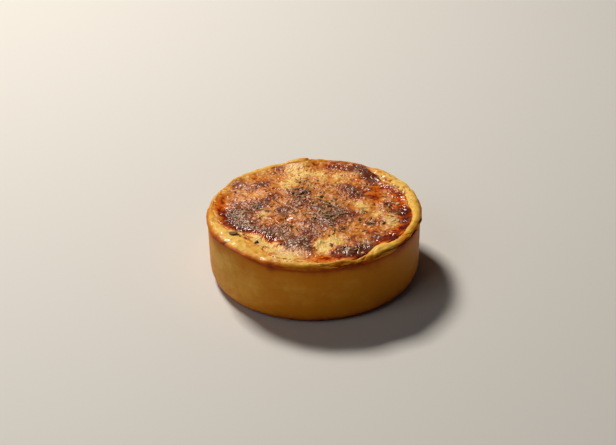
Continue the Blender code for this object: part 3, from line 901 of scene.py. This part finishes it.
def lying(x, y, yaw, size, sink=0.0, lean=0.0, tip=0.0):
    """A matrix that lays a unit shape on the surface at a place in millimetres, turned and scaled."""
    place, normal = ground(x, y)
    upright = UP.rotation_difference((normal + 1.5 * UP).normalized())
    spot = Matrix.Translation(place - sink * MM * UP)
    turn = upright.to_matrix().to_4x4() @ Matrix.Rotation(yaw, 4, "Z")
    lean_turn = Matrix.Rotation(lean, 4, "Y") @ Matrix.Rotation(tip, 4, "X")
    return spot @ turn @ lean_turn @ Matrix.Diagonal((size[0] * MM, size[1] * MM, size[2] * MM, 1.0))


def lay(copies, draw, models, *where, **settings):
    """Adds a copy of one of the models, which chance picks and tones."""
    matrix = lying(*where, **settings)
    copies.append((draw.choice(models), matrix, draw.random()))


def places(draw, groups, widen, reach):
    """Random places, in millimetres, round the middles of the groups (x, y, spread, count)."""
    for centre_x, centre_y, spread, count in groups:
        for _ in range(count):
            x, y = draw.gauss(centre_x, spread * widen), draw.gauss(centre_y, spread * widen)
            if math.hypot(x, y) <= reach:
                yield x, y


# %% [markdown]
# ## Dried herb leaves
#
# Rubbed oregano and parsley come as broken bits of leaf, a few millimetres long, pointed or torn, cupped
# along the midrib and curled as they dried. Each is a small plane, subdivided, drawn in to a point,
# cupped, and given the thickness of a leaf by Solidify. Four of them, differently curled, are enough.

# %% Model four leaves
def model_leaf(number, cup, curl, point):
    """A leaf one unit long and one wide, about the origin."""
    leaf = start_from(bpy.ops.mesh.primitive_plane_add, f"leaf_{number}", size=1.0)
    bpy.ops.object.mode_set(mode="EDIT")
    bpy.ops.mesh.subdivide(number_cuts=3)
    bpy.ops.object.mode_set(mode="OBJECT")
    for vertex in leaf.data.vertices:
        x, y, _ = vertex.co
        along = x + 0.5
        width = math.sin(math.pi * min(1.0, 0.12 + 0.86 * along)) ** point
        width *= 1 + 0.15 * math.sin(9 * along + number)
        torn = 0.08 * noise.noise(Vector((4 * x, 4 * y, number)))
        vertex.co = (x + torn, y * width + torn, cup * (4 * y * y * width) + curl * x * x + 0.4 * torn)
    give_wall(leaf, 0.10)
    apply_all(leaf)
    return leaf


leaves = [model_leaf(0, 0.25, 0.35, 0.7), model_leaf(1, -0.3, 0.6, 1.0)]
leaves += [model_leaf(2, 0.5, -0.4, 0.5), model_leaf(3, 0.15, 0.9, 1.3)]
print(f"leaf: {triangles(leaves[0])} triangles each")

# %% [markdown]
# ## Sprinkle the leaves
#
# The larger ones lie where the plain solid has them, drawn by the same seeded rule. Smaller crumbs of the
# same herb lie round them, thick in the middle of the pie and thin towards the rim.

# %% Scatter the herbs
HERB_CLUSTERS = (
    # x, y, spread in millimetres, number of larger flakes
    (-6, 15, 4.5, 10), (7, 3, 4.5, 9), (8, -9, 4.5, 9), (-28, 3, 3, 4), (-15, -3, 3, 3),
    (-6, 28, 2.5, 3), (7, 24, 3, 2), (-8, -16, 4.5, 5), (27, -14, 5, 4), (6, -26, 5, 3),
    (0, 0, 24, 8),
)
HERB_REACH = 40.0  # no larger flake lies further out than this
HERB_MARGIN = 4.0  # nor closer to the pastry's lip than this
HERB_SPACING = 2.3  # nor closer to the next one's middle than this
HERB_TRIES = 60  # so many places are tried for a flake before it is left out
HERB_CRUMB_REACH = 43.0


def large_flakes():
    """
    x, y, length, width and yaw of the flakes that the plain solid has, in millimetres. The draws that
    aren't kept are the solid flakes' thickness and lean: without them the later ones would fall elsewhere.
    """
    draw = random.Random(41)
    taken, found = [], []
    for centre_x, centre_y, spread, count in HERB_CLUSTERS:
        lengths = sorted((draw.uniform(2.4, 4.8) for _ in range(count)), reverse=True)
        for length in lengths:
            for _ in range(HERB_TRIES):
                x = centre_x + draw.gauss(0.0, spread)
                y = centre_y + draw.gauss(0.0, spread)
                near = min((math.dist((x, y), other) for other in taken), default=math.inf)
                edge = float(lip_edge(np.array([math.degrees(math.atan2(y, x))]))[0]) / MM
                if math.hypot(x, y) < min(HERB_REACH, edge - HERB_MARGIN) and near > HERB_SPACING:
                    break
            else:
                continue
            taken.append((x, y))
            width = draw.uniform(1.0, 1.6)
            draw.uniform(0.8, 1.1)
            yaw = draw.uniform(0.0, math.pi)
            draw.uniform(-0.12, 0.12)
            found.append((x, y, length, width, yaw))
    return found


def sprinkle():
    draw = random.Random(77)
    copies = []
    for x, y, length, width, yaw in large_flakes():
        size = (length * 0.8, width * 0.85, draw.uniform(0.5, 0.8))
        lean, tip = draw.uniform(-0.2, 0.2), draw.uniform(-0.4, 0.4)
        lay(copies, draw, leaves, x, y, yaw, size, sink=-0.06, lean=lean, tip=tip)
    for x, y in places(draw, HERB_CLUSTERS, 1.25, HERB_CRUMB_REACH):
        length = draw.uniform(1.0, 2.8)
        size = (length, length * draw.uniform(0.3, 0.6), length * 0.4)
        yaw, lean, tip = draw.uniform(0.0, math.tau), draw.uniform(-0.5, 0.5), draw.uniform(-0.7, 0.7)
        lay(copies, draw, leaves, x, y, yaw, size, sink=-0.08, lean=lean, tip=tip)
    # one large leaf that fell on the pale ledge, and a crumb beside it
    copies.append((leaves[0], lying(-38.2, -20.8, 0.45, (4.1, 2.9, 1.2), sink=-0.40), 0.24))
    copies.append((leaves[2], lying(-35.2, -22.2, 1.3, (1.4, 0.8, 0.6), sink=-0.1), 0.30))
    return gather("dried_herbs", copies)


herbs = sprinkle()

# %% [markdown]
# ## Herb stems
#
# Between the leaves lie bits of stem and needle-thin leaves, some olive and some nearly black. One stick,
# a thin six-sided cylinder, is drawn out and bent three ways. Two short ones meet in a small sprig.

# %% Model and scatter the stems
ALONG_X = (0.0, math.pi / 2, 0.0)  # turns an upright primitive down
STEM_REACH = 42.0


def model_stem(number, bow):
    """A stem one unit long, lying along X."""
    rod = {"vertices": 6, "radius": 0.5, "depth": 1.0, "rotation": ALONG_X}
    stem = start_from(bpy.ops.mesh.primitive_cylinder_add, f"stem_{number}", **rod)
    bpy.ops.object.mode_set(mode="EDIT")
    for cut in (-0.3, -0.1, 0.1, 0.3):
        bpy.ops.mesh.select_all(action="SELECT")
        bpy.ops.mesh.bisect(plane_co=(cut, 0.0, 0.0), plane_no=(1.0, 0.0, 0.0))
    bpy.ops.object.mode_set(mode="OBJECT")
    for vertex in stem.data.vertices:
        x, y, z = vertex.co
        taper = 1.0 - 0.45 * abs(x + 0.1 * number)
        vertex.co = (x, y * taper + 3.0 * bow * x * x, z * taper + 1.2 * bow * x * x)
    return stem


stems = [model_stem(0, 0.0), model_stem(1, 0.7), model_stem(2, -1.0)]
STEM_SPOTS = (
    # x, y, length, width, yaw in degrees, tone
    (6.3, 4.2, 4.4, 0.62, -28, 0.97), (8, 2.2, 3, 0.55, 20, 0.15), (7.2, -11.5, 5, 0.50, -38, 0.20),
    (10.2, -10.2, 4.4, 0.50, 58, 0.85), (8.8, -12.8, 2.6, 0.45, 40, 0.80),
    (-5, 15.5, 4.4, 0.55, 40, 0.10), (-7.5, 13.6, 3, 0.50, 15, 0.30), (-22, 5.5, 5.5, 0.42, -55, 0.25),
    (-18, 8, 7, 0.38, -42, 0.35),
)


def scatter_stems():
    draw = random.Random(5)
    copies = []
    for x, y, length, width, yaw, tone in STEM_SPOTS:
        matrix = lying(x, y, math.radians(yaw), (length, width, width), sink=-0.3)
        copies.append((draw.choice(stems), matrix, tone))
    fewer = [(*group[:3], group[3] // 2 + 1) for group in HERB_CLUSTERS]
    for x, y in places(draw, fewer, 1.3, STEM_REACH):
        width = draw.uniform(0.32, 0.58)
        yaw, length, lean = draw.uniform(0.0, math.tau), draw.uniform(2.2, 5.6), draw.uniform(-0.12, 0.12)
        lay(copies, draw, stems, x, y, yaw, (length, width, width), sink=-0.12, lean=lean)
    return gather("herb_stems", copies)


twigs = scatter_stems()

# %% [markdown]
# ## Pale wisps, partly painted highlights, and beads of cheese
#
# Here and there a shred of cheese stayed whole and dried pale on top of the skin; the wisps also stand as
# painted highlights where the glossy curls of the dark skin catch the light. A few drops of fat and cheese
# set as round beads near the rim. The wisp is a bent, flattened stick with rounded ends.

# %% Model and place wisps and beads
def model_wisp(number, bow):
    """A wisp one unit long, lying along X."""
    ball = {"segments": 8, "ring_count": 7, "radius": 0.5, "rotation": ALONG_X}
    wisp = start_from(bpy.ops.mesh.primitive_uv_sphere_add, f"wisp_{number}", **ball)
    for vertex in wisp.data.vertices:
        x, y, z = vertex.co
        swelling = 1.0 + 0.25 * math.sin(11 * x + number)
        vertex.co = (x, y * swelling + 2.4 * bow * x * x + 0.5 * math.sin(5 * x + number), z * swelling)
    return wisp


WISP_REACH = 43.5
WISP_AND_GLINT_GROUPS = (
    # x, y, spread, count: where the pale wisps lie thickest, partly as painted highlights on the skin's
    # curls
    (-35, 28, 3, 8), (-36, -6, 4, 12), (24, 35, 3, 8), (17, -36, 3.5, 10), (-8, -33, 4.5, 12),
    (-16, -19, 4.5, 10), (37, -14, 3.5, 10), (36, 2, 3, 6), (-25, -4, 2.2, 6), (-4, 36, 6, 10),
    (27, -30, 4, 7), (0, 0, 26, 55),
)
BEADS = (
    # x, y, radius, in millimetres
    (41, 3.3, 1.25), (33.8, 23.2, 1), (22, -41.2, 0.9), (27.6, 17.2, 0.7),
    (40.3, -12.6, 0.8), (-3.5, -43, 0.7), (44.2, 1.5, 0.6), (34.5, 8, 0.6),
    (-39, 20.5, 0.8), (12.5, 40.5, 0.7), (-33.5, -22, 0.6), (-20, 38, 0.7),
)

wisps = [model_wisp(0, 0.0), model_wisp(1, 0.6), model_wisp(2, -0.9)]
draw = random.Random(23)
wisp_copies = []
for x, y in places(draw, WISP_AND_GLINT_GROUPS, 1.0, WISP_REACH):
    length, width = draw.uniform(1.2, 4.2), draw.uniform(0.35, 0.65)
    yaw = draw.uniform(0.0, math.tau)
    lay(wisp_copies, draw, wisps, x, y, yaw, (length, width, width * 0.7), sink=0.02)
wisps_and_glints_piece = gather("cheese_wisps_and_glints", wisp_copies)

bead = start_from(bpy.ops.mesh.primitive_uv_sphere_add, "bead", segments=16, ring_count=10, radius=1.0)
bead_copies = [
    (bead, lying(x, y, 3.0 * x, (radius, 0.88 * radius, 0.62 * radius), sink=-0.1), draw.random())
    for x, y, radius in BEADS
]
bead_piece = gather("cheese_beads", bead_copies)

# %% [markdown]
# ## Specks and crumbs
#
# Coarse pepper and burnt crumbs are the darkest things on the pie, each well under a millimetre and a
# half. A low icosphere, roughened once, serves for all of them.

# %% Scatter the specks
SPECK_COUNT, CRUMB_COUNT = 55, 90
CRUMB_REACH = 50.4  # crumbs further out would fall off the rim
SPECK_SPOTS = (
    # x, y, size, in millimetres
    (-6.6, 0, 0.75), (-18.4, 21.2, 0.85), (30.8, -9.2, 0.8), (-27, -29.2, 2.5), (26.7, -18.6, 0.8),
    (7.4, 23.8, 0.9), (4.8, 22.2, 0.9), (-6.8, 25.8, 0.9), (-27.5, 2.5, 1), (-10, -16, 0.9),
    (3.4, 0.6, 0.9), (34.5, -29.6, 0.9), (5.2, 33.8, 0.8), (-6.2, 31.2, 0.7), (-13, 7, 0.6),
)

speck = start_from(bpy.ops.mesh.primitive_ico_sphere_add, "speck", subdivisions=2, radius=0.5)
for vertex in speck.data.vertices:
    vertex.co *= 1.0 + 0.35 * noise.noise(vertex.co * 4.0)
draw = random.Random(9)
speck_copies = [
    (speck, lying(x, y, x, (size, 0.75 * size, 0.5 * size), sink=-0.05), 0.2)
    for x, y, size in SPECK_SPOTS
]
for _ in range(SPECK_COUNT):
    x, y, around = anywhere(draw)
    size = draw.uniform(0.22, 0.55)
    speck_copies.append((speck, lying(x, y, around, (1.4 * size, size, 0.7 * size)), draw.random()))
specks = gather("burnt_specks", speck_copies)

# crumbs of cheese fell on the lip, most of them on the right and a few in front
crumb_copies = []
for _ in range(CRUMB_COUNT):
    around = math.radians(draw.choice((draw.gauss(24, 13), draw.gauss(24, 13), draw.gauss(258, 6))))
    reach = lip_edge(math.degrees(around)) / MM + abs(draw.gauss(0.4, 1.7))
    if reach > CRUMB_REACH:
        continue
    size, yaw = draw.uniform(0.3, 0.95), draw.uniform(0, 6)
    x, y = reach * math.cos(around), reach * math.sin(around)
    matrix = lying(x, y, yaw, (1.3 * size, size, 0.4 * size), sink=0.05)
    crumb_copies.append((speck, matrix, 0.8 * draw.random()))
crumbs = gather("cheese_crumbs", crumb_copies)
for model in (*leaves, *stems, *wisps, bead, speck):
    bpy.data.objects.remove(model)

# %% [markdown]
# ## Flakes of pastry on the rim
#
# Where the rim cracked, thin leaves of pastry lifted: slivers a few millimetres long that follow the rim.
# Each is a narrow grid bent round the rim, thin at its ends, with a wall from Solidify.

# %% Lift the flakes
FLAKES = (
    # direction, arc in degrees, drop under the crest, width, stands out by (mm), slope
    (277, 9, 1.55, 0.55, 0.20, 0.35), (286.5, 7, 0.95, 0.65, 0.25, -0.40),
    (292.5, 6, 0.75, 0.80, 0.30, 0.30), (311, 14, 1.75, 0.50, 0.22, 0.20),
    (327, 11, 1.35, 0.50, 0.22, -0.25), (341, 10, 1.45, 0.60, 0.25, 0.25), (350, 6, 1.1, 0.50, 0.20, 0),
)


STEP_DOWN = 0.15  # a ray that misses the rim starts again so much lower, in millimetres


def rim_face(angle, under):
    """The place on the rim's outer face at an angle and so far (mm) under the crest, and its normal."""
    turn = math.radians(angle)
    out = Vector((math.cos(turn), math.sin(turn), 0.0))
    crest_here = CREST + float(crest_extra(np.array([angle]))[0])
    while True:
        start = out * 60 * MM + UP * (crest_here - under * MM)
        place, normal, _, _ = crust_tree.ray_cast(start, -out)
        if place is not None and math.hypot(place.x, place.y) > SHOULDER_RADIUS - 0.3 * MM:
            return place, normal
        under += STEP_DOWN


ALONG_STEPS, ACROSS_STEPS = 14, 3
flake_verts, flake_faces = [], []
for direction, arc, under, width, proud, slope in FLAKES:
    offset = len(flake_verts)
    for i in range(ALONG_STEPS + 1):
        t = i / ALONG_STEPS
        angle = direction + arc * (t - 0.5)
        taper = math.sin(math.pi * (0.04 + 0.92 * t)) ** 0.6
        for j in range(ACROSS_STEPS + 1):
            s = j / ACROSS_STEPS
            wave = 0.18 * noise.noise(Vector((angle * 0.6, 3.0 * s, direction)))
            depth = under + slope * (t - 0.5) * 2.0 + (s - 0.5) * width * taper + wave
            place, normal = rim_face(angle, depth)
            lifted = proud * taper * (1.0 - 0.8 * s) + 0.04
            flake_verts.append(tuple(place + normal * lifted * MM))
    for i in range(ALONG_STEPS):
        for j in range(ACROSS_STEPS):
            corner = offset + i * (ACROSS_STEPS + 1) + j
            flake_faces.append((corner, corner + ACROSS_STEPS + 1, corner + ACROSS_STEPS + 2, corner + 1))
flakes = new_piece("pastry_flakes", flake_verts, flake_faces)
give_wall(flakes, 0.16 * MM)
round_off(flakes, 1)
apply_all(flakes)
bpy.ops.object.mode_set(mode="EDIT")
face_outwards()
smooth_shaded(flakes)
note(flakes, "browning", np.full(len(flakes.data.vertices), 0.22))
print(f"pastry flakes: {len(FLAKES)}, {triangles(flakes)} triangles")

# %% [markdown]
# ## Colours and shared effects
#
# Colours are given as everyday screen values and turned into the linear ones that shaders read. Two
# effects are shared as node groups. The first is grain: a coarse and a fine noise, mixed to one value for
# colour and one height for bump. The second is browning: a number goes in and the colour of pastry or
# cheese at that stage comes out, between four colours that each material sets for itself.

# %% Node helpers
def tint(red, green, blue):
    """A screen colour, 0 to 255, as a linear shader colour."""
    linear = []
    for value in (red, green, blue):
        share = value / 255.0
        linear.append(share / 12.92 if share <= 0.04045 else ((share + 0.055) / 1.055) ** 2.4)
    return (*linear, 1.0)


def add_node(tree, kind, **settings):
    node = tree.nodes.new(kind)
    for name, value in settings.items():
        setattr(node, name, value)
    return node


def join(source, target):
    """Links two sockets in the tree that they belong to."""
    source.id_data.links.new(source, target)


def feed(socket, value):
    """Links another socket to this one, or sets it to a plain value."""
    if isinstance(value, bpy.types.NodeSocket):
        join(value, socket)
    else:
        socket.default_value = value


def arithmetic(operation, first, second, clamp=False):
    """A Math node; first and second are sockets or plain numbers."""
    tree = (first if isinstance(first, bpy.types.NodeSocket) else second).id_data
    node = add_node(tree, "ShaderNodeMath", operation=operation, use_clamp=clamp)
    feed(node.inputs[0], first)
    feed(node.inputs[1], second)
    return node.outputs[0]


def plus(first, second):
    return arithmetic("ADD", first, second)


def times(first, second, clamp=False):
    return arithmetic("MULTIPLY", first, second, clamp)


def swing(value, amount):
    """Turns a value that lies about 0.5 into one that swings about 0, so many times as far."""
    return times(arithmetic("SUBTRACT", value, 0.5), amount)


def ranged(value, low, high, at_low=0.0, at_high=1.0, **settings):
    """A Map Range node: at_low where the value is low, at_high where it is high."""
    node = add_node(value.id_data, "ShaderNodeMapRange", **settings)
    for name, number in zip(("From Min", "From Max", "To Min", "To Max"), (low, high, at_low, at_high)):
        node.inputs[name].default_value = number
    join(value, node.inputs["Value"])
    return node.outputs["Result"]


def blend_colours(factor, first, second):
    """A Mix node for colours; the two colours are sockets or plain values."""
    node = add_node(factor.id_data, "ShaderNodeMix", data_type="RGBA")
    for index, value in ((0, factor), (6, first), (7, second)):
        feed(node.inputs[index], value)
    return node.outputs[2]


def noise_texture(tree, place, scale, detail, distortion=0.0):
    """A Noise node; each setting is a socket or a plain number."""
    node = add_node(tree, "ShaderNodeTexNoise")
    settings = {"Vector": place, "Scale": scale, "Detail": detail, "Distortion": distortion}
    for name, value in settings.items():
        feed(node.inputs[name], value)
    return node.outputs["Fac"]


def new_group(name, inputs, outputs):
    """An empty shader group; inputs are names with their defaults, and a tuple makes a colour."""
    group = bpy.data.node_groups.new(name, "ShaderNodeTree")
    for label, default in inputs.items():
        kind = "NodeSocketColor" if isinstance(default, tuple) else "NodeSocketFloat"
        group.interface.new_socket(label, in_out="INPUT", socket_type=kind).default_value = default
    for label in outputs:
        kind = "NodeSocketColor" if label == "Color" else "NodeSocketFloat"
        group.interface.new_socket(label, in_out="OUTPUT", socket_type=kind)
    return group, add_node(group, "NodeGroupInput").outputs, add_node(group, "NodeGroupOutput").inputs


# %% The grain group
def make_grain_group():
    settings = {"Coarse Scale": 400.0, "Fine Scale": 1500.0, "Fine Share": 0.4}
    group, entry, leave = new_group("kitchen_grain", settings, ("Value", "Fine", "Height"))
    place = add_node(group, "ShaderNodeTexCoord").outputs["Object"]
    coarse = noise_texture(group, place, entry["Coarse Scale"], 3.0, 0.6)
    fine = noise_texture(group, place, entry["Fine Scale"], 2.0, 0.8)
    mixed = add_node(group, "ShaderNodeMix")
    for index, source in ((0, entry["Fine Share"]), (2, coarse), (3, fine)):
        join(source, mixed.inputs[index])
    for label, source in (("Value", mixed.outputs[0]), ("Fine", fine), ("Height", mixed.outputs[0])):
        join(source, leave[label])
    return group


# %% The browning group
STAGES = {"Pale": None, "Golden": (0.02, 0.36), "Brown": (0.36, 0.68), "Scorched": (0.68, 1.05)}


def make_browning_group():
    """Each stage takes over from the one before while the amount goes from its start to its end."""
    settings = {"Amount": 0.5} | {stage: (1.0, 1.0, 1.0, 1.0) for stage in STAGES}
    group, entry, leave = new_group("oven_browning", settings, ("Color",))
    for stage, reach in STAGES.items():
        if reach is None:
            colour = entry[stage]
        else:
            share = ranged(entry["Amount"], *reach, interpolation_type="SMOOTHSTEP")
            colour = blend_colours(share, colour, entry[stage])
    join(colour, leave["Color"])
    return group


GRAIN = make_grain_group()
BROWNING = make_browning_group()
print("groups:", [group.name for group in (GRAIN, BROWNING)])


# %% Material helpers
def new_material(name, **settings):
    """A material with its Principled shader set: each setting goes straight on the shader's socket."""
    material = bpy.data.materials.new(name)
    material.use_nodes = True
    shader = material.node_tree.nodes["Principled BSDF"].inputs
    for socket, value in settings.items():
        shader[socket.replace("_", " ")].default_value = value
    return material, material.node_tree, shader


def place_group(tree, group, **settings):
    """Places a shared group; each setting is a socket or a plain value."""
    node = add_node(tree, "ShaderNodeGroup", node_tree=group)
    for socket, value in settings.items():
        feed(node.inputs[socket.replace("_", " ")], value)
    return node.outputs


def place_grain(tree, coarse, fine, share):
    return place_group(tree, GRAIN, Coarse_Scale=coarse, Fine_Scale=fine, Fine_Share=share)


def place_browning(tree, amount, *shades):
    colours = {stage: tint(*shade) for stage, shade in zip(STAGES, shades)}
    return place_group(tree, BROWNING, Amount=amount, **colours)["Color"]


def read(tree, name):
    return add_node(tree, "ShaderNodeAttribute", attribute_name=name).outputs["Fac"]


def bump(shader, height, depth):
    node = add_node(height.id_data, "ShaderNodeBump")
    node.inputs["Distance"].default_value = depth
    join(height, node.inputs["Height"])
    join(node.outputs["Normal"], shader["Normal"])


def finish_with(material, *pieces):
    for piece in pieces:
        piece.data.materials.append(material)


# %% [markdown]
# ## Baked pastry
#
# Shortcrust is opaque and nearly matt, but butter leaves it a soft sheen. Its colour is all in the
# browning number, which also carries painted shade: cream gold where it is palest, orange brown in the
# crease. Fine grain breaks the colour up, faint bands run round the side where the pastry slid down the
# tin, and the gloss is uneven.

# %% The pastry material
CREAM = (252, 214, 126)
# the cream is partly painted highlight, along the pastry's crest and on the ledge cheese
CREAM_SHARE = 0.58  # how far thin melted cheese hides what it lies on
FLESH = {"Subsurface_Radius": (1.0, 0.5, 0.2)}


def pastry_material():
    material, tree, shader = new_material(
        "baked_pastry",
        Subsurface_Weight=0.12,
        Subsurface_Scale=0.0012,
        Specular_IOR_Level=0.11,
        Coat_Roughness=0.16,
        **FLESH,
    )
    grain = place_grain(tree, 320.0, 1900.0, 0.35)
    melt_and_highlight = read(tree, "melt_and_highlight")
    stretch = add_node(tree, "ShaderNodeMapping")
    stretch.inputs["Scale"].default_value = (1.0, 1.0, 5.0)
    join(add_node(tree, "ShaderNodeTexCoord").outputs["Object"], stretch.inputs["Vector"])
    bands = noise_texture(tree, stretch.outputs["Vector"], 75.0, 4.0)
    # the browning number also carries painted shade in the crease and on the side, and painted light on the
    # lobe
    amount = plus(plus(read(tree, "browning"), swing(grain["Value"], 0.26)), swing(bands, 0.12))
    colour = place_browning(tree, amount, (244, 190, 78), (214, 131, 18), (182, 80, 5), (96, 36, 4))
    # cream of thin cheese over the lip, partly painted highlight along the crest
    join(blend_colours(times(melt_and_highlight, CREAM_SHARE), colour, tint(*CREAM)), shader["Base Color"])
    join(plus(times(grain["Value"], 0.30), 0.36), shader["Roughness"])
    join(times(melt_and_highlight, 0.4), shader["Coat Weight"])
    bump(shader, grain["Height"], 0.00022)
    return material


finish_with(pastry_material(), crust, flakes)

# %% [markdown]
# ## Baked cheese
#
# The cheese goes from cream through orange to nearly black. Fat makes it glossy, most of all where it
# pooled amber by the rim. The crests of the wrinkles are paler than the skin round them: partly dried
# cheese, partly painted highlight. Herb dust greys the middle.

# %% The cheese material
def cheese_material():
    material, tree, shader = new_material(
        "baked_cheese", Subsurface_Weight=0.08, Subsurface_Scale=0.001, Specular_IOR_Level=0.32, **FLESH
    )
    grain = place_grain(tree, 700.0, 2400.0, 0.5)
    amount = plus(read(tree, "browning"), swing(grain["Value"], 0.65))
    amber, herb_dust = read(tree, "amber"), read(tree, "herb_dust")
    colour = place_browning(tree, amount, (244, 202, 108), (214, 128, 40), (148, 56, 14), (94, 36, 21))
    oiled = place_browning(tree, amount, (240, 150, 40), (224, 100, 10), (150, 42, 6), (84, 18, 8))
    colour = blend_colours(times(amber, 0.9, clamp=True), colour, oiled)
    flecks = times(arithmetic("GREATER_THAN", grain["Fine"], 0.53), herb_dust)
    # the pale crests are partly dried cheese and partly painted highlight, and the cream is partly painted
    # highlight too
    for share, shade in (
        (times(read(tree, "dried_and_glint"), 0.47), (232, 180, 132)),
        (times(herb_dust, 0.38), (138, 98, 76)),
        (times(flecks, 0.50), (92, 70, 52)),
        (times(read(tree, "melt_and_highlight"), CREAM_SHARE), CREAM),
    ):
        colour = blend_colours(share, colour, tint(*shade))
    join(colour, shader["Base Color"])
    gloss = plus(times(grain["Fine"], 0.22), ranged(amount, 0.1, 0.7, 0.34, 0.17))
    calm = arithmetic("SUBTRACT", 1.0, times(amber, 0.65))
    join(times(gloss, calm), shader["Roughness"])
    bump(shader, times(grain["Height"], calm), 0.00016)
    return material


finish_with(cheese_material(), top)

# %% [markdown]
# ## Herbs, wisps, beads and specks
#
# Dried leaf is dull and varies from olive to nearly black, so each copy's own number picks its colour.
# Wisps and beads of cheese are pale and glossy. Crumbs run from tan to brown.

# %% The small materials
def toned_material(name, stops, coarse, roughness, **settings):
    """Each copy's own number picks a colour from the stops; grain varies it and roughens the surface."""
    material, tree, shader = new_material(name, **settings)
    grain = place_grain(tree, coarse, coarse * 3.0, 0.4)
    ramp = add_node(tree, "ShaderNodeValToRGB")
    while len(ramp.color_ramp.elements) < len(stops):
        ramp.color_ramp.elements.new(0.5)
    for element, (position, shade) in zip(ramp.color_ramp.elements, stops.items()):
        element.position = position
        element.color = tint(*shade)
    join(plus(read(tree, "tone"), swing(grain["Value"], 0.5)), ramp.inputs["Fac"])
    join(ramp.outputs["Color"], shader["Base Color"])
    join(plus(times(grain["Fine"], 0.2), roughness), shader["Roughness"])
    bump(shader, grain["Height"], 0.0001)
    return material


LEAF_STOPS = {0.0: (96, 70, 48), 0.3: (134, 104, 70), 0.65: (170, 142, 94), 1.0: (214, 190, 132)}
PALE_STOPS = {0.0: (206, 150, 88), 0.5: (232, 192, 140), 1.0: (248, 226, 190)}
SPECK_STOPS = {0.0: (24, 16, 12), 1.0: (78, 40, 20)}
CRUMB_STOPS = {0.0: (150, 74, 26), 0.5: (206, 136, 62), 1.0: (238, 196, 120)}
finish_with(toned_material("dried_leaf", LEAF_STOPS, 900.0, 0.6, Specular_IOR_Level=0.15), herbs, twigs)
soft = {"Subsurface_Weight": 0.2, "Subsurface_Scale": 0.001}
finish_with(toned_material("pale_cheese", PALE_STOPS, 600.0, 0.32, **soft), wisps_and_glints_piece, bead_piece)
finish_with(toned_material("scorched", SPECK_STOPS, 1200.0, 0.4), specks)
finish_with(toned_material("browned_crumb", CRUMB_STOPS, 900.0, 0.3), crumbs)
print("materials:", [material.name for material in bpy.data.materials if material.use_nodes])

# %% [markdown]
# ## Tie every piece to the frame
#
# The pie has one body, so every piece rides on root. The crust and the cheese stand for the two plain
# solids, which are then hidden.

# %% Ride and replace
for piece in (crust, flakes):
    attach(piece, "root")
for piece in (top, herbs, twigs, wisps_and_glints_piece, bead_piece, specks, crumbs):
    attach(piece, "root")
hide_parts("pastry_case")
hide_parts("filling")

# %% [markdown]
# ## Floor, light and camera
#
# A plain pale floor, one large soft key lamp high behind the pie's left, a broad fill in front, and a
# dim even sky. The camera looks down at about 32 degrees through a long lens.

# %% The floor
floor = start_from(bpy.ops.mesh.primitive_plane_add, "pale_floor", size=6.0)
finish_with(new_material("pale_floor", Roughness=0.7, Base_Color=tint(214, 210, 204))[0], floor)


# %% The lamps
def lamp(name, place, size, watts, colour=(1.0, 1.0, 1.0)):
    """A square soft lamp that faces the pie."""
    aim = Vector((0.0, 0.0, CREST / 2)) - Vector(place)
    turn = aim.to_track_quat("-Z", "Y").to_euler()
    bpy.ops.object.light_add(type="AREA", location=place, rotation=turn)
    made = bpy.context.object
    made.name = name
    made.data.size = size
    made.data.energy = watts
    made.data.color = colour
    return made


lamp("key", (-0.42, 0.62, 0.95), 0.26, 15.2, (1.0, 0.955, 0.88))
lamp("fill", (-0.66, -0.56, 0.82), 0.7, 1.7)
sky = bpy.data.worlds.new("studio")
bpy.context.scene.world = sky
sky.use_nodes = True
sky.node_tree.nodes["Background"].inputs["Color"].default_value = (1.0, 1.0, 1.0, 1.0)
sky.node_tree.nodes["Background"].inputs["Strength"].default_value = 0.022
bpy.context.scene.view_settings.view_transform = "Standard"

# %% The camera
CAMERA_DISTANCE = 0.700
CAMERA_ELEVATION = math.radians(32.22)
CAMERA_ROLL = math.radians(-1.69)
AIM_UP = math.radians(1.775)
AIM_LEFT = math.radians(0.298)
bpy.ops.object.camera_add(location=(0.0, 0.0, 0.0))
camera = bpy.context.object
camera.data.lens = 82.4
camera.data.sensor_width = 36.0
camera.data.clip_start = 0.01
away = Vector((0.0, -math.cos(CAMERA_ELEVATION), math.sin(CAMERA_ELEVATION))) * CAMERA_DISTANCE
camera.matrix_world = (
    Matrix.Translation(away)
    @ Matrix.Rotation(math.pi / 2 - CAMERA_ELEVATION, 4, "X")
    @ Matrix.Rotation(CAMERA_ROLL, 4, "Z")
    @ Matrix.Rotation(AIM_UP, 4, "X")
    @ Matrix.Rotation(AIM_LEFT, 4, "Y")
)
bpy.context.scene.camera = camera
